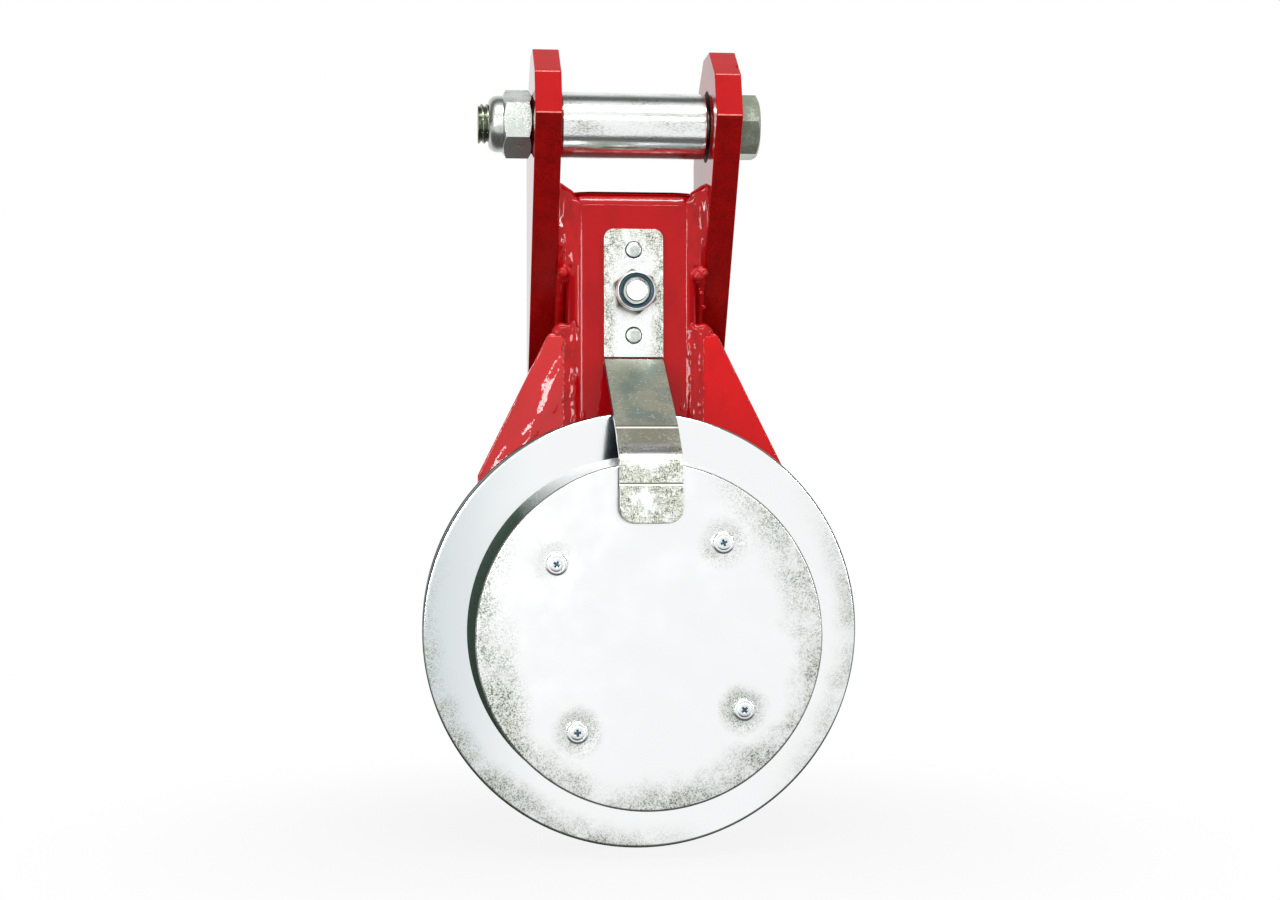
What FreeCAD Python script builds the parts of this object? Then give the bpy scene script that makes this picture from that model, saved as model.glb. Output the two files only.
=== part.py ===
import FreeCAD, Part

import math
import os

from FreeCAD import Vector

# One-sided snatch block hung from a cross bolt. Lengths are in millimetres.
# Origin: middle of the hanger bolt, between the ears. +X runs towards the bolt's head,
# +Z is up and -Y is the side that the rope is snapped in from.

# Fits and gaps that many pieces share
FIT_GAP = 0.02
RUN_GAP = 0.06
BOLT_HOLE_GAP = 0.25
SCREW_HOLE_GAP = 0.1
OVERCUT = 1.0
HEX_BEVEL_DEG = 30.0

# Hanger bolt, its locknut and the sleeve between the ears
HANGER_BOLT_D = 19.05
HANGER_HEAD_AF = 28.6
HANGER_HEAD_H = 12.0
HANGER_NUT_H = 14.0
HANGER_COLLAR_H = 6.6
HANGER_COLLAR_D = 27.0
HANGER_BOLT_END = 5.2
HANGER_BOLT_CHAMFER = 1.5
HANGER_HEAD_TURN = 12.0
HANGER_COLLAR_BEVEL = 2.0
HANGER_MOUTH_GAP = 1.2
HANGER_INSERT_WALL = 2.4
INSERT_LIP = 1.6
SLEEVE_D = 31.75
SLEEVE_END_GAP = 1.2
SLEEVE_CHAMFER = 0.8

# Ears
EAR_THICK = 12.7
EAR_TUBE_GAP = 4.45
EAR_TOP_R = 36.0
EAR_BOTTOM_Z = -125.0
EAR_FOOT_DEPTH = 11.0
EAR_FRONT_BREAK = 35.0
EAR_TOP_BREAK = 74.0
EAR_SHOULDER_Z = -12.0

# Square tube that joins the ears to the cheek plate
TUBE_W = 63.5
TUBE_DEPTH = 50.8
TUBE_WALL = 6.35
TUBE_CORNER_R = 8.0
TUBE_FRONT_Y = -3.0
TUBE_TOP_Z = -31.5
TUBE_BOTTOM_Z = -192.0
CAP_THICK = 4.0

# Cheek plate behind the sheave
CHEEK_THICK = 9.5
CHEEK_HALF_W = 75.0
CHEEK_TIP_HALF_W = 40.0
CHEEK_TIP_Z = -99.0
CHEEK_SLOT_TOP_Z = -93.0
CHEEK_CORNER_Z = -169.0
CHEEK_TIP_R = 5.0

# Weld beads
WELD_CROWN = 1.6
EAR_WELD_WIDTH = 9.0
EAR_WELD_END_Z = -88.0
EAR_WELD_ROOT = 5.0
EAR_WELD_RISE = 6.0
EAR_WELD_RUN = 3.5
CHEEK_WELD_WIDTH = 9.0
CHEEK_WELD_START = 1.0
CHEEK_WELD_ROOT = 6.4

# Sheave: wheel and its two flanges
SHEAVE_BACK_GAP = 3.5
SHEAVE_TOP_DROP = 25.4
FLANGE_D = 203.2
FLANGE_THICK = 4.0
FLANGE_EDGE_R = 1.4
GROOVE_W = 23.5
GROOVE_R = 10.0
FLANGE_RISE = 23.6
RIM_DEPTH = 22.0
WEB_THICK = 12.0
HUB_R = 38.0
HUB_BACK_STEP = 1.0

# Axle and the two ball bearings
AXLE_D = 30.0
AXLE_COLLAR_D = 42.0
AXLE_COLLAR_LENGTH = 11.0
AXLE_THREAD_D = 24.0
AXLE_END = 2.0
AXLE_BACK_END = 3.0
AXLE_CHAMFER = 1.5
AXLE_WASHER_D = 50.0
AXLE_WASHER_THICK = 4.0
AXLE_NUT_AF = 36.0
AXLE_NUT_H = 19.0
LOCKNUT_H = 8.0
BEARING_D = 62.0
BEARING_W = 16.0
BEARING_GAP = 14.0
BEARING_PITCH_R = 23.0
BALL_D = 9.525
BALL_COUNT = 9
BALL_GAP = 0.2
RING_SHOULDER = 2.6
SEAL_W = 6.0
SEAL_LIP_GAP = 0.15
SEAL_LIP_H = 3.0
SEAL_LIP_W = 1.0
THRUST_WASHER_D = 38.0
THRUST_WASHER_THICK = 2.5
HUB_LIP = 4.0

# Raised bearing cover, its posts and screws
COVER_H = 39.0
COVER_STEP_IN = 20.6
COVER_TAPER = 3.0
COVER_WALL = 2.0
COVER_CORNER_R = 2.6
POST_CIRCLE_R = 53.4
POST_D = 12.0
POST_SPIGOT_D = 6.0
POST_ANGLE = 52.0
POST_COUNT = 4
POST_STEP = 360 / POST_COUNT
COVER_SCREW_D = 5.0
COVER_SCREW_LENGTH = 16.0
COVER_SCREW_HEAD_D = 10.4
COVER_SCREW_HEAD_H = 3.4
COVER_SCREW_RIM_H = 1.2

# Screws that hold the flanges to the wheel
FLANGE_SCREW_D = 8.0
FLANGE_SCREW_DEPTH = 14.0
FLANGE_SCREW_WALL = 2.0
FLANGE_SCREW_HEAD_AF = 13.0
FLANGE_SCREW_HEAD_H = 5.3
SUNK_HEAD_D = 15.0
SUNK_HEAD_H = 3.5

# Rope keeper: spring strap, its bolt, locknut and locating pins
KEEPER_W = 28.6
KEEPER_THICK = 3.0
KEEPER_TOP_Z = -50.5
KEEPER_HINGE_Z = -114.0
KEEPER_TOP_CORNER_R = 4.5
KEEPER_TIP_CORNER_R = 7.0
KEEPER_JOINT_GAP = 0.15
KEEPER_CREASE_OUT = 58.0
KEEPER_CREASE_DROP = 33.0
KEEPER_KNEE_DROP = 47.0
KEEPER_KNEE_LEAN = 1.0
KEEPER_LIP_DROP = 57.5
KEEPER_TIP_DROP = 76.0
KEEPER_TIP_FLARE = 2.5
KEEPER_COVER_GAP = 3.0
KEEPER_KNEE_R = 7.0
KEEPER_BOLT_Z = -81.2
KEEPER_BOLT_D = 12.7
KEEPER_BOLT_AF = 19.05
KEEPER_HEAD_H = 8.0
KEEPER_NUT_H = 9.0
KEEPER_COLLAR_H = 4.6
KEEPER_COLLAR_D = 18.6
KEEPER_BOLT_END = 1.5
KEEPER_BOLT_CHAMFER = 1.0
KEEPER_HEAD_TURN = 30.0
KEEPER_COLLAR_BEVEL = 1.2
KEEPER_INSERT_WALL = 2.2
KEEPER_INSERT_LIP = 1.0
LOCATING_PIN_D = 7.9
LOCATING_PIN_OUT = 0.8
LOCATING_PIN_STEP = 20.6
LOCATING_PIN_CHAMFER = 0.6
NUT_TURN = 9.0

# Planes and heights that follow from the sizes above
EAR_INNER_X = TUBE_W / 2 + EAR_TUBE_GAP
EAR_OUTER_X = EAR_INNER_X + EAR_THICK
TUBE_BACK_Y = TUBE_FRONT_Y + TUBE_DEPTH
CHEEK_BACK_Y = TUBE_FRONT_Y + CHEEK_THICK
REAR_FLANGE_Y = TUBE_FRONT_Y - SHEAVE_BACK_GAP
GROOVE_BACK_Y = REAR_FLANGE_Y - FLANGE_THICK
GROOVE_FRONT_Y = GROOVE_BACK_Y - GROOVE_W
FLANGE_FRONT_Y = GROOVE_FRONT_Y - FLANGE_THICK
COVER_FRONT_Y = FLANGE_FRONT_Y - COVER_H
COVER_INNER_Y = COVER_FRONT_Y + COVER_WALL
COLLAR_FRONT_Y = TUBE_FRONT_Y - AXLE_COLLAR_LENGTH
REAR_BEARING_FRONT_Y = COLLAR_FRONT_Y - BEARING_W
FRONT_BEARING_BACK_Y = REAR_BEARING_FRONT_Y - BEARING_GAP
FRONT_BEARING_FRONT_Y = FRONT_BEARING_BACK_Y - BEARING_W
KEEPER_FRONT_Y = TUBE_FRONT_Y - KEEPER_THICK
KEEPER_HINGE_Y = TUBE_FRONT_Y - KEEPER_THICK / 2
SHEAVE_Z = KEEPER_HINGE_Z - SHEAVE_TOP_DROP - FLANGE_D / 2
RIM_R = FLANGE_D / 2 - FLANGE_RISE
RIM_INNER_R = RIM_R - RIM_DEPTH
FLANGE_SCREW_CIRCLE_R = RIM_R - GROOVE_R - FLANGE_SCREW_WALL - FLANGE_SCREW_D / 2
COVER_BASE_R = FLANGE_D / 2 - COVER_STEP_IN
COVER_FRONT_R = COVER_BASE_R - COVER_TAPER

X_AXIS = Vector(1, 0, 0)
Y_AXIS = Vector(0, 1, 0)
Z_AXIS = Vector(0, 0, 1)
SHEAVE_CENTRE = Vector(0, 0, SHEAVE_Z)


def cylinder_x(radius, x0, x1, y=0, z=0):
    return Part.makeCylinder(radius, x1 - x0, Vector(x0, y, z), X_AXIS)


def cylinder_y(radius, y0, y1, x=0, z=0):
    return Part.makeCylinder(radius, y1 - y0, Vector(x, y0, z), Y_AXIS)


def polygon_face(points):
    return Part.Face(Part.makePolygon(points + [points[0]]))


def turned_y(profile, centre=SHEAVE_CENTRE):
    """Turn (radius, y) corners about the line along Y through centre."""
    points = [Vector(centre.x + radius, y, centre.z) for radius, y in profile]
    return polygon_face(points).revolve(centre, Y_AXIS, 360)


def turned_x(profile):
    """Turn (x, radius) corners about the hanger bolt's axis."""
    points = [Vector(x, 0, radius) for x, radius in profile]
    return polygon_face(points).revolve(Vector(0, 0, 0), X_AXIS, 360)


def ring_y(outer_r, inner_r, y0, y1, centre=SHEAVE_CENTRE):
    profile = [(inner_r, y0), (outer_r, y0), (outer_r, y1), (inner_r, y1)]
    return turned_y(profile, centre)


def on_circle(radius, angle_deg, y=0):
    angle = math.radians(angle_deg)
    return Vector(radius * math.cos(angle), y, SHEAVE_Z + radius * math.sin(angle))


def hexagon(across_flats, centre, u, v, turn_deg):
    corner_r = across_flats / math.sqrt(3)
    points = []
    for k in range(6):
        angle = math.radians(turn_deg + 60 * k)
        points.append(centre + u * (corner_r * math.cos(angle)) + v * (corner_r * math.sin(angle)))
    return polygon_face(points)


def bevelled_disc(across_flats, height, bevel_both):
    """(radius, height) corners of the turned blank that rounds off a hexagon's corners."""
    corner_r = across_flats / math.sqrt(3) + SCREW_HOLE_GAP
    flat_r = across_flats / 2
    drop = (corner_r - flat_r) * math.tan(math.radians(HEX_BEVEL_DEG))
    corners = [(0, 0), (flat_r, 0), (corner_r, drop)] if bevel_both else [(0, 0), (corner_r, 0)]
    return corners + [(corner_r, height - drop), (flat_r, height), (0, height)]


def hex_block_x(across_flats, x0, x1, turn_deg, bevel_both=False):
    """Hexagon along X whose end at x1 is bevelled, and its end at x0 too if asked."""
    sign = 1 if x1 > x0 else -1
    height = abs(x1 - x0)
    face = hexagon(across_flats, Vector(x0, 0, 0), Y_AXIS, Z_AXIS, turn_deg)
    block = face.extrude(Vector(x1 - x0, 0, 0))
    blank = turned_x([(x0 + sign * h, r) for r, h in bevelled_disc(across_flats, height, bevel_both)])
    return block.common(blank)


def hex_block_y(across_flats, y0, y1, centre, turn_deg, bevel_both=False):
    """Hexagon along Y whose end at y1 is bevelled, and its end at y0 too if asked."""
    sign = 1 if y1 > y0 else -1
    height = abs(y1 - y0)
    start = Vector(centre.x, y0, centre.z)
    block = hexagon(across_flats, start, X_AXIS, Z_AXIS, turn_deg).extrude(Vector(0, y1 - y0, 0))
    corners = [(r, y0 + sign * h) for r, h in bevelled_disc(across_flats, height, bevel_both)]
    return block.common(turned_y(corners, centre))


def save(name, shape):
    shape = shape.removeSplitter() if shape.ShapeType == "Solid" else shape
    shape.exportStep("parts/" + name + ".step")


def group(solids):
    return Part.makeCompound(solids)


def ear_outline(x):
    """Side view of an ear: faceted round top, upright back, front edge sloping back to a narrow foot."""
    front = Vector(x, -EAR_TOP_R, 0)
    shoulder = Vector(x, TUBE_BACK_Y, EAR_SHOULDER_Z)
    points = [front]
    for angle_deg in (EAR_FRONT_BREAK, EAR_TOP_BREAK, 180 - EAR_TOP_BREAK, 180 - EAR_FRONT_BREAK):
        angle = math.radians(angle_deg)
        points.append(Vector(x, -EAR_TOP_R * math.cos(angle), EAR_TOP_R * math.sin(angle)))
    points += [shoulder, Vector(x, TUBE_BACK_Y, EAR_BOTTOM_Z)]
    points.append(Vector(x, TUBE_BACK_Y - EAR_FOOT_DEPTH, EAR_BOTTOM_Z))
    return polygon_face(points)


def ear(side):
    x0 = side * EAR_INNER_X
    plate = ear_outline(x0).extrude(Vector(side * EAR_THICK, 0, 0))
    low_x = min(x0, x0 + side * EAR_THICK)
    hole = cylinder_x(HANGER_BOLT_D / 2 + BOLT_HOLE_GAP, low_x - OVERCUT, low_x + EAR_THICK + OVERCUT)
    return plate.cut(hole)


def rounded_block(half_w, y0, y1, z0, z1, corner_r):
    block = Part.makeBox(2 * half_w, y1 - y0, z1 - z0, Vector(-half_w, y0, z0))
    upright = [e for e in block.Edges if abs(e.tangentAt(e.FirstParameter).z) > 0.99]
    return block.makeFillet(corner_r, upright)


def tube_outside():
    return rounded_block(TUBE_W / 2, TUBE_FRONT_Y, TUBE_BACK_Y, TUBE_BOTTOM_Z, TUBE_TOP_Z, TUBE_CORNER_R)


def hanger_tube():
    low = TUBE_BOTTOM_Z + CAP_THICK
    high = TUBE_TOP_Z - CAP_THICK
    shell = rounded_block(TUBE_W / 2, TUBE_FRONT_Y, TUBE_BACK_Y, low, high, TUBE_CORNER_R)
    inside = rounded_block(TUBE_W / 2 - TUBE_WALL, TUBE_FRONT_Y + TUBE_WALL, TUBE_BACK_Y - TUBE_WALL,
                           low - OVERCUT, high + OVERCUT, TUBE_CORNER_R - TUBE_WALL)
    shell = shell.cut(inside)
    bolt_hole = cylinder_y(KEEPER_BOLT_D / 2 + BOLT_HOLE_GAP, TUBE_FRONT_Y - OVERCUT, TUBE_BACK_Y + OVERCUT,
                           0, KEEPER_BOLT_Z)
    shell = shell.cut(bolt_hole)
    for step in (-LOCATING_PIN_STEP, LOCATING_PIN_STEP):
        pin_hole = cylinder_y(LOCATING_PIN_D / 2 + FIT_GAP, TUBE_FRONT_Y - OVERCUT,
                              TUBE_FRONT_Y + TUBE_WALL + OVERCUT, 0, KEEPER_BOLT_Z + step)
        shell = shell.cut(pin_hole)
    return shell


def tube_cap(z0):
    return rounded_block(TUBE_W / 2, TUBE_FRONT_Y, TUBE_BACK_Y, z0, z0 + CAP_THICK, TUBE_CORNER_R)


def cheek_outline(y):
    """Front view: two tapered horns beside the tube, straight sides, round bottom about the axle."""
    slot_x = TUBE_W / 2
    right = [Vector(slot_x, y, TUBE_BOTTOM_Z), Vector(slot_x, y, CHEEK_SLOT_TOP_Z),
             Vector(CHEEK_TIP_HALF_W, y, CHEEK_TIP_Z), Vector(CHEEK_HALF_W, y, CHEEK_CORNER_Z),
             Vector(CHEEK_HALF_W, y, SHEAVE_Z)]
    left = [Vector(-p.x, p.y, p.z) for p in reversed(right)]
    bottom = Part.Arc(right[-1], Vector(0, y, SHEAVE_Z - CHEEK_HALF_W), left[0]).toShape()
    edges = [Part.makeLine(a, b) for a, b in zip(right, right[1:])]
    edges.append(bottom)
    edges += [Part.makeLine(a, b) for a, b in zip(left, left[1:])]
    edges.append(Part.makeLine(left[-1], right[0]))
    return Part.Face(Part.Wire(edges))


def cheek_plate():
    plate = cheek_outline(TUBE_FRONT_Y).extrude(Vector(0, CHEEK_THICK, 0))
    tips = []
    for edge in plate.Edges:
        middle = edge.CenterOfMass
        if math.hypot(abs(middle.x) - CHEEK_TIP_HALF_W, middle.z - CHEEK_TIP_Z) < 0.01:
            tips.append(edge)
    plate = plate.makeFillet(CHEEK_TIP_R, tips)
    axle_hole = cylinder_y(AXLE_THREAD_D / 2 + BOLT_HOLE_GAP, TUBE_FRONT_Y - OVERCUT, CHEEK_BACK_Y + OVERCUT,
                           0, SHEAVE_Z)
    return plate.cut(axle_hole)


def ear_front_y(z):
    """Y of an ear's sloping front edge at height z below the bolt."""
    foot_y = TUBE_BACK_Y - EAR_FOOT_DEPTH
    return -EAR_TOP_R + (foot_y + EAR_TOP_R) * (z / EAR_BOTTOM_Z)


def ear_weld_front():
    """Run that fills the gap between the tube's side and the ear, just behind the ear's front edge."""
    x0 = TUBE_W / 2 - TUBE_CORNER_R
    crossing_z = EAR_BOTTOM_Z * (TUBE_FRONT_Y + EAR_TOP_R) / (TUBE_BACK_Y - EAR_FOOT_DEPTH + EAR_TOP_R)
    points = [Vector(x0, TUBE_FRONT_Y, TUBE_TOP_Z), Vector(x0, TUBE_FRONT_Y, crossing_z),
              Vector(x0, ear_front_y(EAR_WELD_END_Z), EAR_WELD_END_Z),
              Vector(x0, ear_front_y(EAR_WELD_END_Z) + EAR_WELD_WIDTH, EAR_WELD_END_Z),
              Vector(x0, TUBE_FRONT_Y + EAR_WELD_WIDTH, crossing_z),
              Vector(x0, TUBE_FRONT_Y + EAR_WELD_WIDTH, TUBE_TOP_Z)]
    return polygon_face(points).extrude(Vector(EAR_INNER_X - x0, 0, 0))


def ear_weld_back():
    x0 = TUBE_W / 2 - TUBE_CORNER_R
    corner = Vector(x0, TUBE_BACK_Y - EAR_WELD_WIDTH, EAR_BOTTOM_Z)
    return Part.makeBox(EAR_INNER_X - x0, EAR_WELD_WIDTH, TUBE_TOP_Z - EAR_BOTTOM_Z, corner)


def ear_weld_top():
    """Sloping fillet that climbs from the tube's top onto the ear."""
    toe_x = TUBE_W / 2 - EAR_WELD_RUN
    points = [Vector(toe_x, TUBE_FRONT_Y, TUBE_TOP_Z),
              Vector(EAR_INNER_X, TUBE_FRONT_Y, TUBE_TOP_Z + EAR_WELD_RISE),
              Vector(EAR_INNER_X, TUBE_FRONT_Y, TUBE_TOP_Z - EAR_WELD_ROOT),
              Vector(toe_x, TUBE_FRONT_Y, TUBE_TOP_Z - EAR_WELD_ROOT)]
    return polygon_face(points).extrude(Vector(0, TUBE_DEPTH, 0))


def ear_weld(side):
    runs = ear_weld_front().fuse([ear_weld_back(), ear_weld_top()])
    weld = runs.cut(tube_outside()).removeSplitter()
    return weld if side > 0 else weld.mirror(Vector(0, 0, 0), X_AXIS)


def cheek_weld(side):
    """Crowned bead in the groove between the tube's rounded front corner and the cheek plate."""
    left_x = TUBE_W / 2 - TUBE_CORNER_R + CHEEK_WELD_START
    right_x = left_x + CHEEK_WELD_WIDTH
    bottom_z = TUBE_BOTTOM_Z + CAP_THICK
    top_z = CHEEK_SLOT_TOP_Z - CHEEK_WELD_START
    left = Vector(left_x, TUBE_FRONT_Y, bottom_z)
    right = Vector(right_x, TUBE_FRONT_Y, bottom_z)
    crest = Vector((left_x + right_x) / 2, TUBE_FRONT_Y - WELD_CROWN, bottom_z)
    crown = Part.Arc(left, crest, right).toShape()
    root = [right, Vector(TUBE_W / 2, TUBE_FRONT_Y, bottom_z),
            Vector(TUBE_W / 2, TUBE_FRONT_Y + CHEEK_WELD_ROOT, bottom_z), left]
    edges = [crown] + [Part.makeLine(a, b) for a, b in zip(root, root[1:])]
    bead = Part.Face(Part.Wire(edges)).extrude(Vector(0, 0, top_z - bottom_z)).cut(tube_outside())
    return bead if side > 0 else bead.mirror(Vector(0, 0, 0), X_AXIS)


def hanger_bolt():
    shank_r = HANGER_BOLT_D / 2
    end_x = -(EAR_OUTER_X + HANGER_NUT_H + HANGER_COLLAR_H + HANGER_BOLT_END)
    shank = turned_x([(end_x, 0), (end_x, shank_r - HANGER_BOLT_CHAMFER),
                      (end_x + HANGER_BOLT_CHAMFER, shank_r), (EAR_OUTER_X, shank_r), (EAR_OUTER_X, 0)])
    head = hex_block_x(HANGER_HEAD_AF, EAR_OUTER_X, EAR_OUTER_X + HANGER_HEAD_H, HANGER_HEAD_TURN)
    return shank.fuse(head).removeSplitter()


def hanger_nut():
    x0 = -EAR_OUTER_X
    hex_end = x0 - HANGER_NUT_H
    end = hex_end - HANGER_COLLAR_H
    body = hex_block_x(HANGER_HEAD_AF, x0, hex_end, NUT_TURN, True)
    collar_r = HANGER_COLLAR_D / 2
    mouth_r = HANGER_BOLT_D / 2 + HANGER_MOUTH_GAP
    collar = turned_x([(hex_end + OVERCUT, mouth_r), (hex_end + OVERCUT, collar_r),
                       (end + HANGER_COLLAR_BEVEL, collar_r), (end, collar_r - HANGER_COLLAR_BEVEL),
                       (end, mouth_r)])
    bore = cylinder_x(HANGER_BOLT_D / 2 + FIT_GAP, hex_end - OVERCUT, x0 + OVERCUT)
    pocket = cylinder_x(HANGER_BOLT_D / 2 + HANGER_INSERT_WALL, end + INSERT_LIP, hex_end)
    return body.fuse(collar).removeSplitter().cut(bore).cut(pocket)


def hanger_nut_insert():
    hex_end = -EAR_OUTER_X - HANGER_NUT_H
    inner_r = HANGER_BOLT_D / 2 + FIT_GAP
    outer_r = HANGER_BOLT_D / 2 + HANGER_INSERT_WALL - FIT_GAP
    low = hex_end - HANGER_COLLAR_H + INSERT_LIP
    return cylinder_x(outer_r, low, hex_end).cut(cylinder_x(inner_r, low - OVERCUT, hex_end + OVERCUT))


def hanger_sleeve():
    half = EAR_INNER_X - SLEEVE_END_GAP
    outer_r = SLEEVE_D / 2
    inner_r = HANGER_BOLT_D / 2 + RUN_GAP
    return turned_x([(-half, inner_r), (-half, outer_r - SLEEVE_CHAMFER), (-half + SLEEVE_CHAMFER, outer_r),
                     (half - SLEEVE_CHAMFER, outer_r), (half, outer_r - SLEEVE_CHAMFER), (half, inner_r)])


def keeper_base():
    low = KEEPER_HINGE_Z + KEEPER_THICK / 2 + KEEPER_JOINT_GAP
    corner = Vector(-KEEPER_W / 2, KEEPER_FRONT_Y, low)
    plate = Part.makeBox(KEEPER_W, KEEPER_THICK, KEEPER_TOP_Z - low, corner)
    top_edges = [e for e in plate.Edges if e.CenterOfMass.z > KEEPER_TOP_Z - 0.01]
    corners = [e for e in top_edges if abs(e.tangentAt(e.FirstParameter).y) > 0.99]
    plate = plate.makeFillet(KEEPER_TOP_CORNER_R, corners)
    holes = [(KEEPER_BOLT_D / 2 + BOLT_HOLE_GAP, KEEPER_BOLT_Z),
             (LOCATING_PIN_D / 2 + SCREW_HOLE_GAP, KEEPER_BOLT_Z - LOCATING_PIN_STEP),
             (LOCATING_PIN_D / 2 + SCREW_HOLE_GAP, KEEPER_BOLT_Z + LOCATING_PIN_STEP)]
    for radius, z in holes:
        plate = plate.cut(cylinder_y(radius, KEEPER_FRONT_Y - OVERCUT, TUBE_FRONT_Y + OVERCUT, 0, z))
    return plate


def keeper_line():
    """Middle line of the leaf, as (y, z) points from the bend at the tube down to the tip."""
    lip_y = COVER_FRONT_Y - KEEPER_COVER_GAP - KEEPER_THICK / 2
    return [(KEEPER_HINGE_Y, KEEPER_HINGE_Z),
            (KEEPER_HINGE_Y - KEEPER_CREASE_OUT, KEEPER_HINGE_Z - KEEPER_CREASE_DROP),
            (lip_y + KEEPER_KNEE_LEAN, KEEPER_HINGE_Z - KEEPER_KNEE_DROP),
            (lip_y, KEEPER_HINGE_Z - KEEPER_LIP_DROP),
            (lip_y - KEEPER_TIP_FLARE, KEEPER_HINGE_Z - KEEPER_TIP_DROP)]


def offset_line(line, distance):
    """Shift each run of a (y, z) line sideways and meet the runs at their new corners."""
    runs = []
    for (y0, z0), (y1, z1) in zip(line, line[1:]):
        length = math.hypot(y1 - y0, z1 - z0)
        ny, nz = (z1 - z0) / length, -(y1 - y0) / length
        runs.append((y0 + ny * distance, z0 + nz * distance, y1 + ny * distance, z1 + nz * distance))
    points = [runs[0][:2]]
    for a, b in zip(runs, runs[1:]):
        ay, az = a[2] - a[0], a[3] - a[1]
        by, bz = b[2] - b[0], b[3] - b[1]
        cross = ay * bz - az * by
        t = ((b[0] - a[0]) * bz - (b[1] - a[1]) * by) / cross
        points.append((a[0] + ay * t, a[1] + az * t))
    points.append(runs[-1][2:])
    return points


def edges_at(shape, y, z):
    """Edges along X that pass through the point (y, z)."""
    found = []
    for edge in shape.Edges:
        middle = edge.CenterOfMass
        along_x = abs(edge.tangentAt(edge.FirstParameter).x) > 0.99
        if along_x and math.hypot(middle.y - y, middle.z - z) < 0.01:
            found.append(edge)
    return found


def keeper_leaf():
    """Bent strip with a round root on the hinge line, a rounded knee and rounded tip corners."""
    line = keeper_line()
    half_t = KEEPER_THICK / 2
    upper = offset_line(line, half_t)
    lower = offset_line(line, -half_t)
    points = [Vector(-KEEPER_W / 2, y, z) for y, z in upper + lower[::-1]]
    strip = polygon_face(points).extrude(Vector(KEEPER_W, 0, 0))
    strip = strip.makeFillet(KEEPER_KNEE_R, edges_at(strip, *upper[2]))
    strip = strip.makeFillet(KEEPER_KNEE_R - KEEPER_THICK, edges_at(strip, *lower[2]))
    tip_z = max(upper[-1][1], lower[-1][1])
    corners = [e for e in strip.Edges if e.Length < KEEPER_THICK + 0.01 and e.CenterOfMass.z < tip_z]
    strip = strip.makeFillet(KEEPER_TIP_CORNER_R, corners)
    root_r = half_t - KEEPER_JOINT_GAP / 2
    root = cylinder_x(root_r, -KEEPER_W / 2, KEEPER_W / 2, KEEPER_HINGE_Y, KEEPER_HINGE_Z)
    return strip.fuse(root).removeSplitter()


def keeper_bolt():
    shank_r = KEEPER_BOLT_D / 2
    centre = Vector(0, 0, KEEPER_BOLT_Z)
    end_y = KEEPER_FRONT_Y - KEEPER_NUT_H - KEEPER_COLLAR_H - KEEPER_BOLT_END
    shank = turned_y([(0, end_y), (shank_r - KEEPER_BOLT_CHAMFER, end_y),
                      (shank_r, end_y + KEEPER_BOLT_CHAMFER), (shank_r, TUBE_BACK_Y),
                      (0, TUBE_BACK_Y)], centre)
    head = hex_block_y(KEEPER_BOLT_AF, TUBE_BACK_Y, TUBE_BACK_Y + KEEPER_HEAD_H, centre, KEEPER_HEAD_TURN)
    return shank.fuse(head).removeSplitter()


def keeper_nut():
    centre = Vector(0, 0, KEEPER_BOLT_Z)
    hex_end = KEEPER_FRONT_Y - KEEPER_NUT_H
    end = hex_end - KEEPER_COLLAR_H
    body = hex_block_y(KEEPER_BOLT_AF, KEEPER_FRONT_Y, hex_end, centre, NUT_TURN, True)
    collar_r = KEEPER_COLLAR_D / 2
    mouth_r = KEEPER_BOLT_D / 2 + KEEPER_INSERT_WALL
    collar = turned_y([(mouth_r, hex_end + OVERCUT), (collar_r, hex_end + OVERCUT),
                       (collar_r, end + KEEPER_COLLAR_BEVEL), (collar_r - KEEPER_COLLAR_BEVEL, end),
                       (mouth_r, end)], centre)
    bore = cylinder_y(KEEPER_BOLT_D / 2 + FIT_GAP, hex_end - OVERCUT, KEEPER_FRONT_Y + OVERCUT,
                      0, KEEPER_BOLT_Z)
    return body.fuse(collar).removeSplitter().cut(bore)


def keeper_nut_insert():
    centre = Vector(0, 0, KEEPER_BOLT_Z)
    hex_end = KEEPER_FRONT_Y - KEEPER_NUT_H
    return ring_y(KEEPER_BOLT_D / 2 + KEEPER_INSERT_WALL - FIT_GAP, KEEPER_BOLT_D / 2 + FIT_GAP,
                  hex_end - KEEPER_COLLAR_H + KEEPER_INSERT_LIP, hex_end, centre)


def locating_pins():
    pins = []
    for step in (-LOCATING_PIN_STEP, LOCATING_PIN_STEP):
        centre = Vector(0, 0, KEEPER_BOLT_Z + step)
        radius = LOCATING_PIN_D / 2
        end_y = KEEPER_FRONT_Y - LOCATING_PIN_OUT
        pins.append(turned_y([(0, end_y), (radius - LOCATING_PIN_CHAMFER, end_y),
                              (radius, end_y + LOCATING_PIN_CHAMFER), (radius, TUBE_FRONT_Y + TUBE_WALL),
                              (0, TUBE_FRONT_Y + TUBE_WALL)], centre))
    return group(pins)


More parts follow.
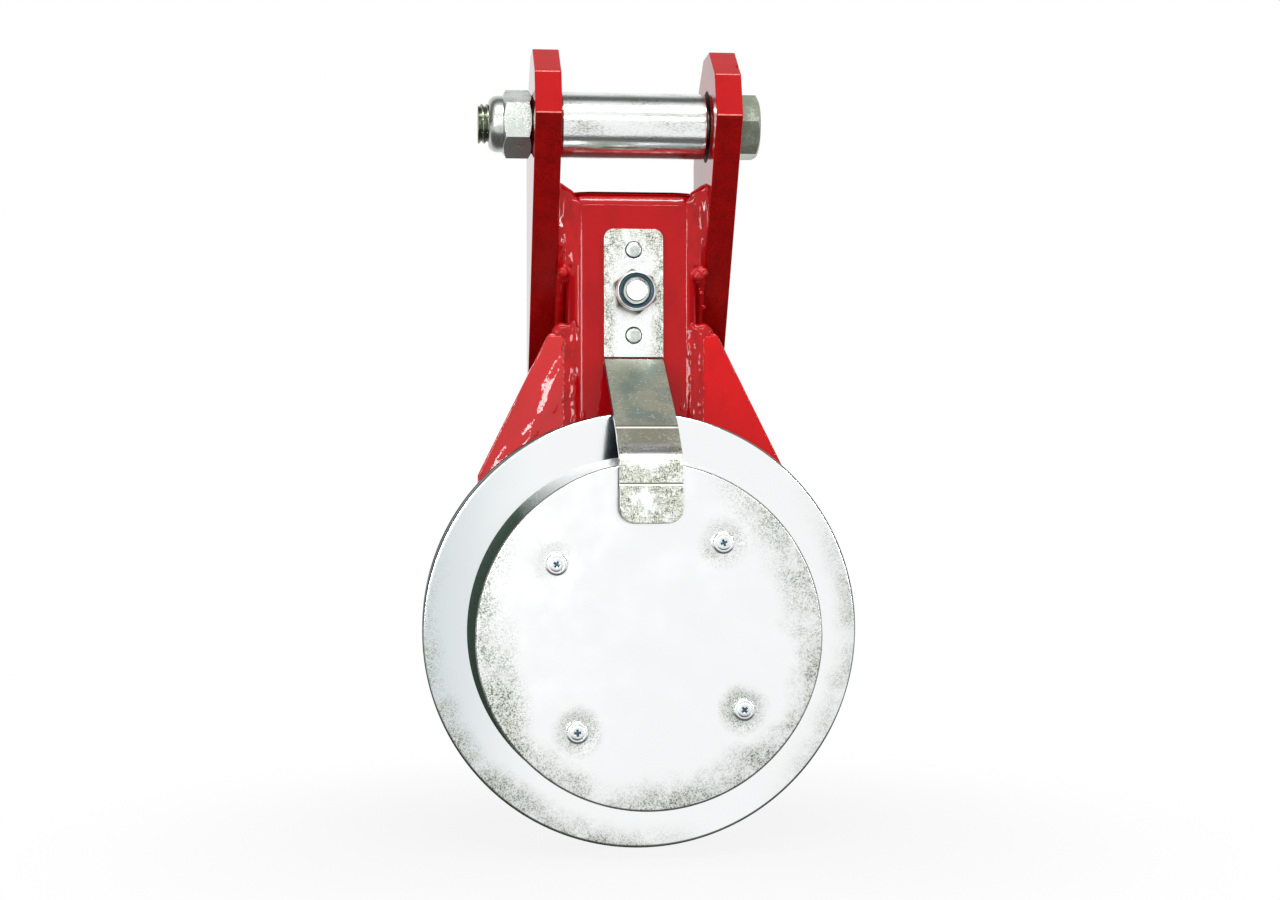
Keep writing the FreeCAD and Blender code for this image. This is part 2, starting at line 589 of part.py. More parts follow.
def axle():
    """Stub axle: rear thread through the cheek plate, collar, bearing seat, front thread."""
    thread_r = AXLE_THREAD_D / 2
    seat_r = AXLE_D / 2
    collar_r = AXLE_COLLAR_D / 2
    back_end = CHEEK_BACK_Y + AXLE_WASHER_THICK + AXLE_NUT_H + AXLE_BACK_END
    front_end = FRONT_BEARING_FRONT_Y - THRUST_WASHER_THICK - LOCKNUT_H - AXLE_END
    return turned_y([(0, back_end), (thread_r - AXLE_CHAMFER, back_end), (thread_r, back_end - AXLE_CHAMFER),
                     (thread_r, TUBE_FRONT_Y), (collar_r, TUBE_FRONT_Y), (collar_r, COLLAR_FRONT_Y),
                     (seat_r, COLLAR_FRONT_Y), (seat_r, FRONT_BEARING_FRONT_Y),
                     (thread_r, FRONT_BEARING_FRONT_Y), (thread_r, front_end + AXLE_CHAMFER),
                     (thread_r - AXLE_CHAMFER, front_end), (0, front_end)])


def axle_washer():
    return ring_y(AXLE_WASHER_D / 2, AXLE_THREAD_D / 2 + BOLT_HOLE_GAP,
                  CHEEK_BACK_Y, CHEEK_BACK_Y + AXLE_WASHER_THICK)


def axle_nut():
    y0 = CHEEK_BACK_Y + AXLE_WASHER_THICK
    body = hex_block_y(AXLE_NUT_AF, y0, y0 + AXLE_NUT_H, SHEAVE_CENTRE, 0, True)
    bore = cylinder_y(AXLE_THREAD_D / 2 + FIT_GAP, y0 - OVERCUT, y0 + AXLE_NUT_H + OVERCUT, 0, SHEAVE_Z)
    return body.cut(bore)


def thrust_washer():
    return ring_y(THRUST_WASHER_D / 2, AXLE_THREAD_D / 2 + BOLT_HOLE_GAP,
                  FRONT_BEARING_FRONT_Y - THRUST_WASHER_THICK, FRONT_BEARING_FRONT_Y)


def front_locknut():
    y0 = FRONT_BEARING_FRONT_Y - THRUST_WASHER_THICK
    body = hex_block_y(AXLE_NUT_AF, y0, y0 - LOCKNUT_H, SHEAVE_CENTRE, 0, True)
    bore = cylinder_y(AXLE_THREAD_D / 2 + FIT_GAP, y0 - LOCKNUT_H - OVERCUT, y0 + OVERCUT, 0, SHEAVE_Z)
    return body.cut(bore)


def ball_track(y_middle):
    """Torus that the balls run in, with its small gap."""
    return Part.makeTorus(BEARING_PITCH_R, BALL_D / 2 + BALL_GAP, Vector(0, y_middle, SHEAVE_Z), Y_AXIS)


def bearing_inner(y_front):
    shoulder_r = BEARING_PITCH_R - RING_SHOULDER
    ring = ring_y(shoulder_r, AXLE_D / 2 + FIT_GAP, y_front, y_front + BEARING_W)
    return ring.cut(ball_track(y_front + BEARING_W / 2))


def bearing_outer(y_front):
    shoulder_r = BEARING_PITCH_R + RING_SHOULDER
    ring = ring_y(BEARING_D / 2, shoulder_r, y_front, y_front + BEARING_W)
    return ring.cut(ball_track(y_front + BEARING_W / 2))


def bearing_balls(y_front):
    balls = []
    for k in range(BALL_COUNT):
        centre = on_circle(BEARING_PITCH_R, 360 * k / BALL_COUNT, y_front + BEARING_W / 2)
        balls.append(Part.makeSphere(BALL_D / 2, centre))
    return group(balls)


def inner_spacer():
    return ring_y(BEARING_PITCH_R - RING_SHOULDER, AXLE_D / 2 + FIT_GAP,
                  FRONT_BEARING_BACK_Y, REAR_BEARING_FRONT_Y)


def outer_spacer():
    return ring_y(BEARING_D / 2, BEARING_PITCH_R + RING_SHOULDER, FRONT_BEARING_BACK_Y, REAR_BEARING_FRONT_Y)


def hub_seal():
    lip_r = AXLE_COLLAR_D / 2 + SEAL_LIP_GAP
    y1 = COLLAR_FRONT_Y + SEAL_W
    mid_y = COLLAR_FRONT_Y + SEAL_W / 2
    body_r = lip_r + SEAL_LIP_H
    return turned_y([(BEARING_D / 2, COLLAR_FRONT_Y), (BEARING_D / 2, y1), (body_r, y1), (lip_r, mid_y),
                     (body_r, mid_y - SEAL_LIP_W), (body_r, COLLAR_FRONT_Y)])


def sheave_wheel():
    """Turned wheel: bearing hub, web and a rim with a round-bottomed rope groove."""
    bore_r = BEARING_D / 2 + FIT_GAP
    lip_r = bore_r - HUB_LIP
    hub_back = REAR_FLANGE_Y - HUB_BACK_STEP
    hub_front = FRONT_BEARING_FRONT_Y - HUB_LIP
    groove_y = (GROOVE_BACK_Y + GROOVE_FRONT_Y) / 2
    web_back = groove_y + WEB_THICK / 2
    web_front = groove_y - WEB_THICK / 2
    wheel = turned_y([(bore_r, hub_back), (HUB_R, hub_back), (HUB_R, web_back), (RIM_INNER_R, web_back),
                      (RIM_INNER_R, GROOVE_BACK_Y), (RIM_R, GROOVE_BACK_Y), (RIM_R, GROOVE_FRONT_Y),
                      (RIM_INNER_R, GROOVE_FRONT_Y), (RIM_INNER_R, web_front), (HUB_R, web_front),
                      (HUB_R, hub_front), (lip_r, hub_front), (lip_r, FRONT_BEARING_FRONT_Y),
                      (bore_r, FRONT_BEARING_FRONT_Y)])
    wheel = wheel.cut(Part.makeTorus(RIM_R, GROOVE_R, Vector(0, groove_y, SHEAVE_Z), Y_AXIS))
    for k in range(POST_COUNT):
        front_hole = on_circle(FLANGE_SCREW_CIRCLE_R, POST_ANGLE + POST_STEP * (k + 0.5))
        rear_hole = on_circle(FLANGE_SCREW_CIRCLE_R, POST_ANGLE + POST_STEP * k)
        depth = FLANGE_SCREW_DEPTH + OVERCUT
        radius = FLANGE_SCREW_D / 2 + FIT_GAP
        wheel = wheel.cut(cylinder_y(radius, GROOVE_FRONT_Y - OVERCUT, GROOVE_FRONT_Y + depth,
                                     front_hole.x, front_hole.z))
        wheel = wheel.cut(cylinder_y(radius, GROOVE_BACK_Y - depth, GROOVE_BACK_Y + OVERCUT,
                                     rear_hole.x, rear_hole.z))
    return wheel


def flange_disc(y_front):
    """Flat disc with rounded rim and a bore that centres it on the hub."""
    disc = ring_y(FLANGE_D / 2, HUB_R + FIT_GAP, y_front, y_front + FLANGE_THICK)
    rim_edges = [e for e in disc.Edges if hasattr(e.Curve, "Radius")
                 and abs(e.Curve.Radius - FLANGE_D / 2) < 0.01]
    return disc.makeFillet(FLANGE_EDGE_R, rim_edges)


def front_flange():
    disc = flange_disc(FLANGE_FRONT_Y)
    for k in range(POST_COUNT):
        screw = on_circle(FLANGE_SCREW_CIRCLE_R, POST_ANGLE + POST_STEP * (k + 0.5))
        post = on_circle(POST_CIRCLE_R, POST_ANGLE + POST_STEP * k)
        holes = [(screw, FLANGE_SCREW_D / 2 + SCREW_HOLE_GAP), (post, POST_SPIGOT_D / 2 + FIT_GAP)]
        for centre, radius in holes:
            disc = disc.cut(cylinder_y(radius, FLANGE_FRONT_Y - OVERCUT, GROOVE_FRONT_Y + OVERCUT,
                                       centre.x, centre.z))
    return disc


def sunk_screw_shape(centre, gap):
    """Countersunk screw outline from the rear face, widened by gap for its hole."""
    shank_r = FLANGE_SCREW_D / 2 + gap
    head_r = SUNK_HEAD_D / 2 + gap
    end_y = GROOVE_BACK_Y - FLANGE_SCREW_DEPTH
    return turned_y([(0, REAR_FLANGE_Y), (head_r, REAR_FLANGE_Y), (shank_r, REAR_FLANGE_Y - SUNK_HEAD_H),
                     (shank_r, end_y), (0, end_y)], centre)


def rear_flange():
    disc = flange_disc(GROOVE_BACK_Y)
    for k in range(POST_COUNT):
        centre = on_circle(FLANGE_SCREW_CIRCLE_R, POST_ANGLE + POST_STEP * k)
        disc = disc.cut(sunk_screw_shape(centre, SCREW_HOLE_GAP))
    return disc


def rear_flange_screws():
    screws = []
    for k in range(POST_COUNT):
        screws.append(sunk_screw_shape(on_circle(FLANGE_SCREW_CIRCLE_R, POST_ANGLE + POST_STEP * k), 0))
    return group(screws)


def front_flange_screws():
    screws = []
    for k in range(POST_COUNT):
        centre = on_circle(FLANGE_SCREW_CIRCLE_R, POST_ANGLE + POST_STEP * (k + 0.5))
        head_y = FLANGE_FRONT_Y - FLANGE_SCREW_HEAD_H
        head = hex_block_y(FLANGE_SCREW_HEAD_AF, FLANGE_FRONT_Y, head_y, centre, 0)
        shank = cylinder_y(FLANGE_SCREW_D / 2, FLANGE_FRONT_Y, GROOVE_FRONT_Y + FLANGE_SCREW_DEPTH,
                           centre.x, centre.z)
        screws.append(head.fuse(shank).removeSplitter())
    return group(screws)


def bearing_cover():
    """Thin round cup, slightly tapered, standing on the front flange with its open end."""
    outer = turned_y([(0, FLANGE_FRONT_Y), (COVER_BASE_R, FLANGE_FRONT_Y), (COVER_FRONT_R, COVER_FRONT_Y),
                      (0, COVER_FRONT_Y)])
    front_edge = [e for e in outer.Edges if hasattr(e.Curve, "Radius")
                  and abs(e.CenterOfMass.y - COVER_FRONT_Y) < 0.01]
    outer = outer.makeFillet(COVER_CORNER_R, front_edge)
    base_r = COVER_BASE_R - COVER_WALL
    front_r = COVER_FRONT_R - COVER_WALL
    inner = turned_y([(0, FLANGE_FRONT_Y + OVERCUT), (base_r, FLANGE_FRONT_Y + OVERCUT),
                      (base_r, FLANGE_FRONT_Y), (front_r, COVER_INNER_Y), (0, COVER_INNER_Y)])
    cup = outer.cut(inner)
    for k in range(POST_COUNT):
        centre = on_circle(POST_CIRCLE_R, POST_ANGLE + POST_STEP * k)
        cup = cup.cut(cylinder_y(COVER_SCREW_D / 2 + SCREW_HOLE_GAP, COVER_FRONT_Y - OVERCUT,
                                 COVER_INNER_Y + OVERCUT, centre.x, centre.z))
    return cup


def cover_posts():
    posts = []
    for k in range(POST_COUNT):
        centre = on_circle(POST_CIRCLE_R, POST_ANGLE + POST_STEP * k)
        post = turned_y([(0, COVER_INNER_Y), (POST_D / 2, COVER_INNER_Y), (POST_D / 2, FLANGE_FRONT_Y),
                         (POST_SPIGOT_D / 2, FLANGE_FRONT_Y), (POST_SPIGOT_D / 2, GROOVE_FRONT_Y),
                         (0, GROOVE_FRONT_Y)], centre)
        hole = cylinder_y(COVER_SCREW_D / 2 + FIT_GAP, COVER_FRONT_Y - OVERCUT,
                          COVER_FRONT_Y + COVER_SCREW_LENGTH + OVERCUT, centre.x, centre.z)
        posts.append(post.cut(hole))
    return group(posts)


def cover_screws():
    """Pan-head screws: domed head, straight shank."""
    screws = []
    head_r = COVER_SCREW_HEAD_D / 2
    shank_r = COVER_SCREW_D / 2
    top_y = COVER_FRONT_Y - COVER_SCREW_HEAD_H
    rim_y = COVER_FRONT_Y - COVER_SCREW_RIM_H
    dome_h = COVER_SCREW_HEAD_H - COVER_SCREW_RIM_H
    dome_r = (head_r ** 2 + dome_h ** 2) / (2 * dome_h)
    middle_angle = math.asin(head_r / dome_r) / 2
    for k in range(POST_COUNT):
        centre = on_circle(POST_CIRCLE_R, POST_ANGLE + POST_STEP * k)
        corners = [Vector(centre.x + r, y, centre.z) for r, y in
                   [(0, top_y), (head_r, rim_y), (head_r, COVER_FRONT_Y), (shank_r, COVER_FRONT_Y),
                    (shank_r, COVER_FRONT_Y + COVER_SCREW_LENGTH), (0, COVER_FRONT_Y + COVER_SCREW_LENGTH)]]
        middle = Vector(centre.x + dome_r * math.sin(middle_angle),
                        top_y + dome_r * (1 - math.cos(middle_angle)), centre.z)
        edges = [Part.Arc(corners[0], middle, corners[1]).toShape()]
        edges += [Part.makeLine(a, b) for a, b in zip(corners[1:], corners[2:] + corners[:1])]
        screws.append(Part.Face(Part.Wire(edges)).revolve(centre, Y_AXIS, 360))
    return group(screws)


def build():
    os.makedirs("parts", exist_ok=True)
    save("ear_left", ear(-1))
    save("ear_right", ear(1))
    save("hanger_tube", hanger_tube())
    save("tube_top_cap", tube_cap(TUBE_TOP_Z - CAP_THICK))
    save("tube_bottom_cap", tube_cap(TUBE_BOTTOM_Z))
    save("cheek_plate", cheek_plate())
    save("ear_welds", group([ear_weld(-1), ear_weld(1)]))
    save("cheek_welds", group([cheek_weld(-1), cheek_weld(1)]))
    save("hanger_bolt", hanger_bolt())
    save("hanger_nut", hanger_nut())
    save("hanger_nut_insert", hanger_nut_insert())
    save("hanger_sleeve", hanger_sleeve())
    save("keeper_base", keeper_base())
    save("keeper_leaf", keeper_leaf())
    save("keeper_bolt", keeper_bolt())
    save("keeper_nut", keeper_nut())
    save("keeper_nut_insert", keeper_nut_insert())
    save("locating_pins", locating_pins())
    save("axle", axle())
    save("axle_washer", axle_washer())
    save("axle_nut", axle_nut())
    save("thrust_washer", thrust_washer())
    save("front_locknut", front_locknut())
    for place, y_front in (("rear", REAR_BEARING_FRONT_Y), ("front", FRONT_BEARING_FRONT_Y)):
        save(place + "_bearing_inner", bearing_inner(y_front))
        save(place + "_bearing_outer", bearing_outer(y_front))
        save(place + "_bearing_balls", bearing_balls(y_front))
    save("inner_spacer", inner_spacer())
    save("outer_spacer", outer_spacer())
    save("hub_seal", hub_seal())
    save("sheave_wheel", sheave_wheel())
    save("front_flange", front_flange())
    save("rear_flange", rear_flange())
    save("front_flange_screws", front_flange_screws())
    save("rear_flange_screws", rear_flange_screws())
    save("bearing_cover", bearing_cover())
    save("cover_posts", cover_posts())
    save("cover_screws", cover_screws())


build()
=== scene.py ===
import random
from math import copysign, cos, hypot, pi, radians, sin, sqrt, tan, tau

import bmesh
import bpy
from mathutils import Matrix, Vector


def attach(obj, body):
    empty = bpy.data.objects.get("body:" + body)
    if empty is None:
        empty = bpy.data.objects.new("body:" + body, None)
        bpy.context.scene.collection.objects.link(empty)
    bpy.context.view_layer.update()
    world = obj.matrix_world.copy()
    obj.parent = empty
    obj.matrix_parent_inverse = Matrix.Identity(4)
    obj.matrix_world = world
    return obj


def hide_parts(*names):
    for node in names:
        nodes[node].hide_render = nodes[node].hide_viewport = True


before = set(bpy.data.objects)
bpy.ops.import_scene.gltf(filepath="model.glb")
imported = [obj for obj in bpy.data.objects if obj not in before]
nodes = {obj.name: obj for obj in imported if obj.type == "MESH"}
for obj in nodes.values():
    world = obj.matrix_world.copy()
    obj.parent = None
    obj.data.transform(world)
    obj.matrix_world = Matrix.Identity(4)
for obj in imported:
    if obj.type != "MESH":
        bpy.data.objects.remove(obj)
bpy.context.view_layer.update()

# Snatch block hung from a cross bolt. Shapes are given in millimetres, turned to metres by MM.
# +X runs towards the cross bolt's head, +Z is up, -Y is the side that the rope is snapped in from.
MM = 0.001

# Ears, square tube and cheek plate
EAR_IN, EAR_OUT = 36.2, 48.9
EAR_TOP_R, EAR_FOOT = 36.0, -125.0
TUBE_HALF_W = 31.75
TUBE_FRONT, TUBE_BACK = -3.0, 47.8
TUBE_TOP, TUBE_BOTTOM = -31.5, -192.0
CHEEK_R, CHEEK_THICK, CHEEK_LOW = 75.0, 9.5, -330.0
HORN_FOOT, HORN_TIP, HORN_TIP_X = -169.0, -99.0, 40.0
WAVY_X = -31.0

# Cross bolt and sleeve
HANGER_BOLT_R, HANGER_FLATS = 9.525, 28.6
SLEEVE_R, SLEEVE_BORE_R, SLEEVE_HALF_W = 15.875, 9.6, EAR_IN - 1.2

# Keeper strap and its bolt
STRAP_HALF_W, STRAP_THICK = 14.3, 3.0
STRAP_BOLT_R, STRAP_FLATS, STRAP_BOLT_Z = 6.35, 19.05, -81.2
PIN_R, PIN_STEP = 3.9, 20.6
BEND_Y, BEND_Z = -4.5, -114.0
STRAP_CREASES = (-147.1, -172.9)

# Sheave: flanges, cover and the cover's screws
AXLE_Z, AXLE_HOLE_R = -241.0, 12.25
FLANGE_R, FLANGE_THICK, FLANGE_ROUND = 101.6, 4.0, 1.4
FLANGE_FRONT, REAR_FLANGE_Y = -38.0, -6.5
COVER_FRONT, COVER_WALL, COVER_ROUND = -77.0, 2.0, 0.9
COVER_BASE_R, COVER_FRONT_R = 81.0, 78.0
SCREW_CIRCLE, SCREW_ANGLE = 53.4, 52.0

# Smoothing angles in degrees: edges that turn by more stay crisp
BENT, MACHINED, PLATE, ROUNDED, BEAD = 24, 32, 38, 60, 80

# Studio, in metres and watts: the levels are what polished surfaces see in front and at the sides
FLOOR_Z = -342.6
FRONT_LEVEL, SIDE_LEVEL = 1.02, 0.15
ROOM_LIGHT = 0.20
LAMPS = (("top_box", (0.05, -0.72, 0.95), 1.1, 0.2, 11.5),
         ("middle_strip", (0.13, -1.3, 0.42), 0.42, 0.035, 1.1),
         ("left_box", (-0.75, -0.95, 0.05), 0.06, 0.6, 3.2),
         ("right_box", (0.85, -0.95, 0.1), 0.05, 0.6, 3.4),
         ("wave_box", (-0.38, -1.45, -0.03), 0.24, 0.3, 3.2))
LAMP_TARGET = Vector((0, 0, -0.15))
CAMERA_AT = (-0.1007, -0.9889, -0.161)
CAMERA_TURN = (pi / 2 + 0.004, radians(0.1), -0.105)
LENS_MM, SENSOR_MM = 57.7, 36.0


# Modelling helpers


def deselect():
    if bpy.context.object and bpy.context.object.mode != "OBJECT":
        done()
    bpy.ops.object.select_all(action="DESELECT")


def pick(piece):
    deselect()
    piece.select_set(True)
    bpy.context.view_layer.objects.active = piece


def edit(piece, mode=None):
    pick(piece)
    bpy.ops.object.mode_set(mode="EDIT")
    if mode:
        bpy.ops.mesh.select_mode(type=mode)


def edit_all(piece):
    edit(piece)
    bpy.ops.mesh.select_all(action="SELECT")


def done():
    bpy.ops.object.mode_set(mode="OBJECT")


def placed(scale=(1, 1, 1)):
    """The primitive just added, with its scale and place applied."""
    piece = bpy.context.object
    piece.scale = scale
    bpy.ops.object.transform_apply()
    return piece


def unselected(piece):
    """The edit mesh of a piece, with nothing selected."""
    mesh = bmesh.from_edit_mesh(piece.data)
    for item in (*mesh.faces, *mesh.edges, *mesh.verts):
        item.select = False
    return mesh


def select_faces(piece, wanted):
    """In edit mode, select the faces for which wanted(middle, normal) is true."""
    for face in unselected(piece).faces:
        if wanted(face.calc_center_median() / MM, face.normal):
            face.select_set(True)
    bmesh.update_edit_mesh(piece.data)


def select_edges(piece, wanted):
    """In edit mode, select the edges for which wanted(middle, direction) is true."""
    mesh = unselected(piece)
    for edge in mesh.edges:
        a, b = edge.verts[0].co, edge.verts[1].co
        if wanted((a + b) / 2 / MM, (b - a).normalized()):
            edge.select = True
    mesh.select_flush(True)
    bmesh.update_edit_mesh(piece.data)


def modify(piece, kind, **settings):
    """Add a modifier with these settings and apply it."""
    pick(piece)
    modifier = piece.modifiers.new(kind.lower(), kind)
    for key, value in settings.items():
        setattr(modifier, key, value)
    bpy.ops.object.modifier_apply(modifier=modifier.name)
    return piece


def soften(piece, width=0.3, segments=2, angle=30):
    """Break the edges that turn by more than an angle in degrees."""
    return modify(piece, "BEVEL", width=width * MM, segments=segments, limit_method="ANGLE",
        angle_limit=radians(angle))


def carve(piece, cutter, operation="DIFFERENCE"):
    modify(piece, "BOOLEAN", operation=operation, object=cutter, solver="EXACT")
    bpy.data.objects.remove(cutter)
    return piece


def round_edges(piece, radius, segments, wanted):
    """Round the edges for which wanted(middle, direction) is true."""
    edit(piece, "EDGE")
    select_edges(piece, wanted)
    bpy.ops.mesh.bevel(offset=radius * MM, segments=segments, affect="EDGES")
    done()


def merged(piece, distance=0.002):
    """Merge a piece's doubles and turn its faces outwards."""
    edit_all(piece)
    bpy.ops.mesh.remove_doubles(threshold=distance * MM)
    bpy.ops.mesh.normals_make_consistent(inside=False)
    done()
    return piece


def moved(piece, matrix):
    piece.matrix_world = matrix
    bpy.context.view_layer.update()
    bpy.ops.object.transform_apply()
    return piece


def settle(piece, axis, at=(0, 0, 0), spin=0.0):
    """Turn a piece made along Z to its axis, move it to its place in millimetres, and apply both."""
    angle, hinge = {"x": (90, "Y"), "-x": (-90, "Y"), "y": (-90, "X"), "-y": (90, "X")}[axis]
    pick(piece)
    return moved(piece, Matrix.Translation(Vector(at) * MM) @ Matrix.Rotation(radians(angle), 4, hinge)
        @ Matrix.Rotation(spin, 4, "Z"))


def fit_out(piece, name, slot, finish, *replaced, body="frame", angle=MACHINED):
    """Smooth a finished piece, keeping its wide faces flat, name it and let it ride on its body."""
    pick(piece)
    bpy.ops.object.shade_smooth_by_angle(angle=radians(angle))
    modify(piece, "WEIGHTED_NORMAL", keep_sharp=True)
    piece.name = name
    piece.data.name = name
    piece.data.materials.clear()
    piece.data.materials.append(finish)
    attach(piece, body)
    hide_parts(*replaced)
    deselect()


def refinish(piece, finish, wanted):
    """Give the faces for which wanted(middle, normal) is true another finish."""
    piece.data.materials.append(finish)
    edit(piece)
    select_faces(piece, wanted)
    piece.active_material_index = len(piece.data.materials) - 1
    bpy.ops.object.material_slot_assign()
    done()
    deselect()


def pull_edges(y, z):
    """Extrude the selected edges by y and z millimetres."""
    bpy.ops.mesh.extrude_edges_move(TRANSFORM_OT_translate={"value": (0, y * MM, z * MM)})


def turned(profile, segments=96, closed=False):
    """Turn (radius, height) rings about Z by extruding and scaling a circle, ring after ring."""
    deselect()
    radius, height = profile[0]
    bpy.ops.mesh.primitive_circle_add(vertices=segments, radius=radius * MM, location=(0, 0, height * MM),
        fill_type="NOTHING" if closed else "NGON")
    piece = placed()
    edit(piece, "EDGE")
    select_edges(piece, lambda at, way: True)
    for next_radius, next_height in profile[1:] + (profile[:1] if closed else []):
        pull_edges(0, next_height - height)
        scale = next_radius / radius
        bpy.ops.transform.resize(value=(scale, scale, 1), center_override=(0, 0, next_height * MM))
        radius, height = next_radius, next_height
    if not closed:
        bpy.ops.mesh.edge_face_add()
    done()
    return merged(piece)


def block(low, high):
    """Box between two corners in millimetres."""
    deselect()
    low, high = Vector(low), Vector(high)
    bpy.ops.mesh.primitive_cube_add(size=1, location=(low + high) / 2 * MM)
    return placed((high - low) * MM)


def ball(radius, at, stretch=(1, 1, 1), segments=14, rings=8):
    deselect()
    bpy.ops.mesh.primitive_uv_sphere_add(segments=segments, ring_count=rings, radius=radius * MM,
        location=tuple(v * MM for v in at))
    return placed(stretch)


def rod(radius, start, end, segments=64):
    """Plain cutter rod between two points on one axis, in millimetres."""
    deselect()
    start, end = Vector(start), Vector(end)
    along = end - start
    bpy.ops.mesh.primitive_cylinder_add(vertices=segments, radius=radius * MM, depth=along.length * MM)
    return moved(bpy.context.object, Matrix.Translation((start + end) / 2 * MM)
        @ Vector((0, 0, 1)).rotation_difference(along).to_matrix().to_4x4())


def slice_off(piece, point, normal):
    """Cut away what lies beyond a plane and close the cut."""
    edit_all(piece)
    bpy.ops.mesh.bisect(plane_co=Vector(point) * MM, plane_no=Vector(normal).normalized(), use_fill=True,
        clear_outer=True)
    done()


def loft(sections):
    """Solid through matching outlines, extruded from each to the next."""
    deselect()
    bpy.ops.mesh.primitive_circle_add(vertices=len(sections[0]), radius=MM, fill_type="NGON")
    piece = bpy.context.object
    for vert, corner in zip(piece.data.vertices, sections[0]):
        vert.co = Vector(corner) * MM
    edit(piece, "FACE")
    bpy.ops.mesh.select_all(action="SELECT")
    for last, section in zip(sections, sections[1:]):
        bpy.ops.mesh.extrude_region_move()
        mesh = bmesh.from_edit_mesh(piece.data)
        for vert in [v for v in mesh.verts if v.select]:
            k = min(range(len(last)), key=lambda i: (vert.co - Vector(last[i]) * MM).length)
            vert.co = Vector(section[k]) * MM
        bmesh.update_edit_mesh(piece.data)
    done()
    return merged(piece)


def joined(pieces):
    pick(pieces[0])
    for piece in pieces:
        piece.select_set(True)
    bpy.ops.object.join()
    return pieces[0]


def four_places(radius):
    """(x, z) of the four places round the axle where the sheave's screws stand."""
    angles = [radians(SCREW_ANGLE + 90 * k) for k in range(4)]
    return [(radius * cos(angle), AXLE_Z + radius * sin(angle)) for angle in angles]


COVER_SCREWS = four_places(SCREW_CIRCLE)


# Finishes


class Nodes:
    """Lays out the shader nodes of one finish or of the room."""

    def __init__(self, tree):
        self.tree = tree
        self.tree.nodes.clear()

    def add(self, kind, **settings):
        node = self.tree.nodes.new("ShaderNode" + kind)
        for key, value in settings.items():
            setattr(node, key, value)
        return node

    def join(self, a, b):
        self.tree.links.new(a, b)

    def put(self, value, socket):
        """Link another node's output to a socket, or set the socket to a number or a colour."""
        if hasattr(value, "is_linked"):
            self.join(value, socket)
        else:
            socket.default_value = (*value, 1) if isinstance(value, tuple) else value

    def fill(self, node, values):
        for value, socket in zip(values, node.inputs):
            self.put(value, socket)
        return node.outputs[0]

    def math(self, operation, *values):
        return self.fill(self.add("Math", operation=operation), values)

    def plus(self, a, b):
        return self.math("ADD", a, b)

    def times(self, a, b):
        return self.math("MULTIPLY", a, b)

    def larger(self, a, b):
        return self.math("MAXIMUM", a, b)

    def rest(self, a):
        """What is left of 1."""
        return self.math("SUBTRACT", 1.0, a)

    def length(self, a, b):
        return self.math("SQRT", self.plus(self.times(a, a), self.times(b, b)))

    def spread(self, value, low, high, out_low=0.0, out_high=1.0):
        """Ease from out_low to out_high while the value runs from low to high."""
        node = self.add("MapRange", interpolation_type="SMOOTHSTEP")
        return self.fill(node, (value, low, high, out_low, out_high))

    def blend(self, factor, a, b):
        """Colour a where the factor is 0 and b where it is 1."""
        node = self.add("Mix", data_type="RGBA")
        for value, socket in ((factor, node.inputs[0]), (a, node.inputs[6]), (b, node.inputs[7])):
            self.put(value, socket)
        return node.outputs[2]

    def mix(self, factor, a, b):
        """Shader a where the factor is 0 and b where it is 1."""
        return self.fill(self.add("MixShader"), (factor, a, b))


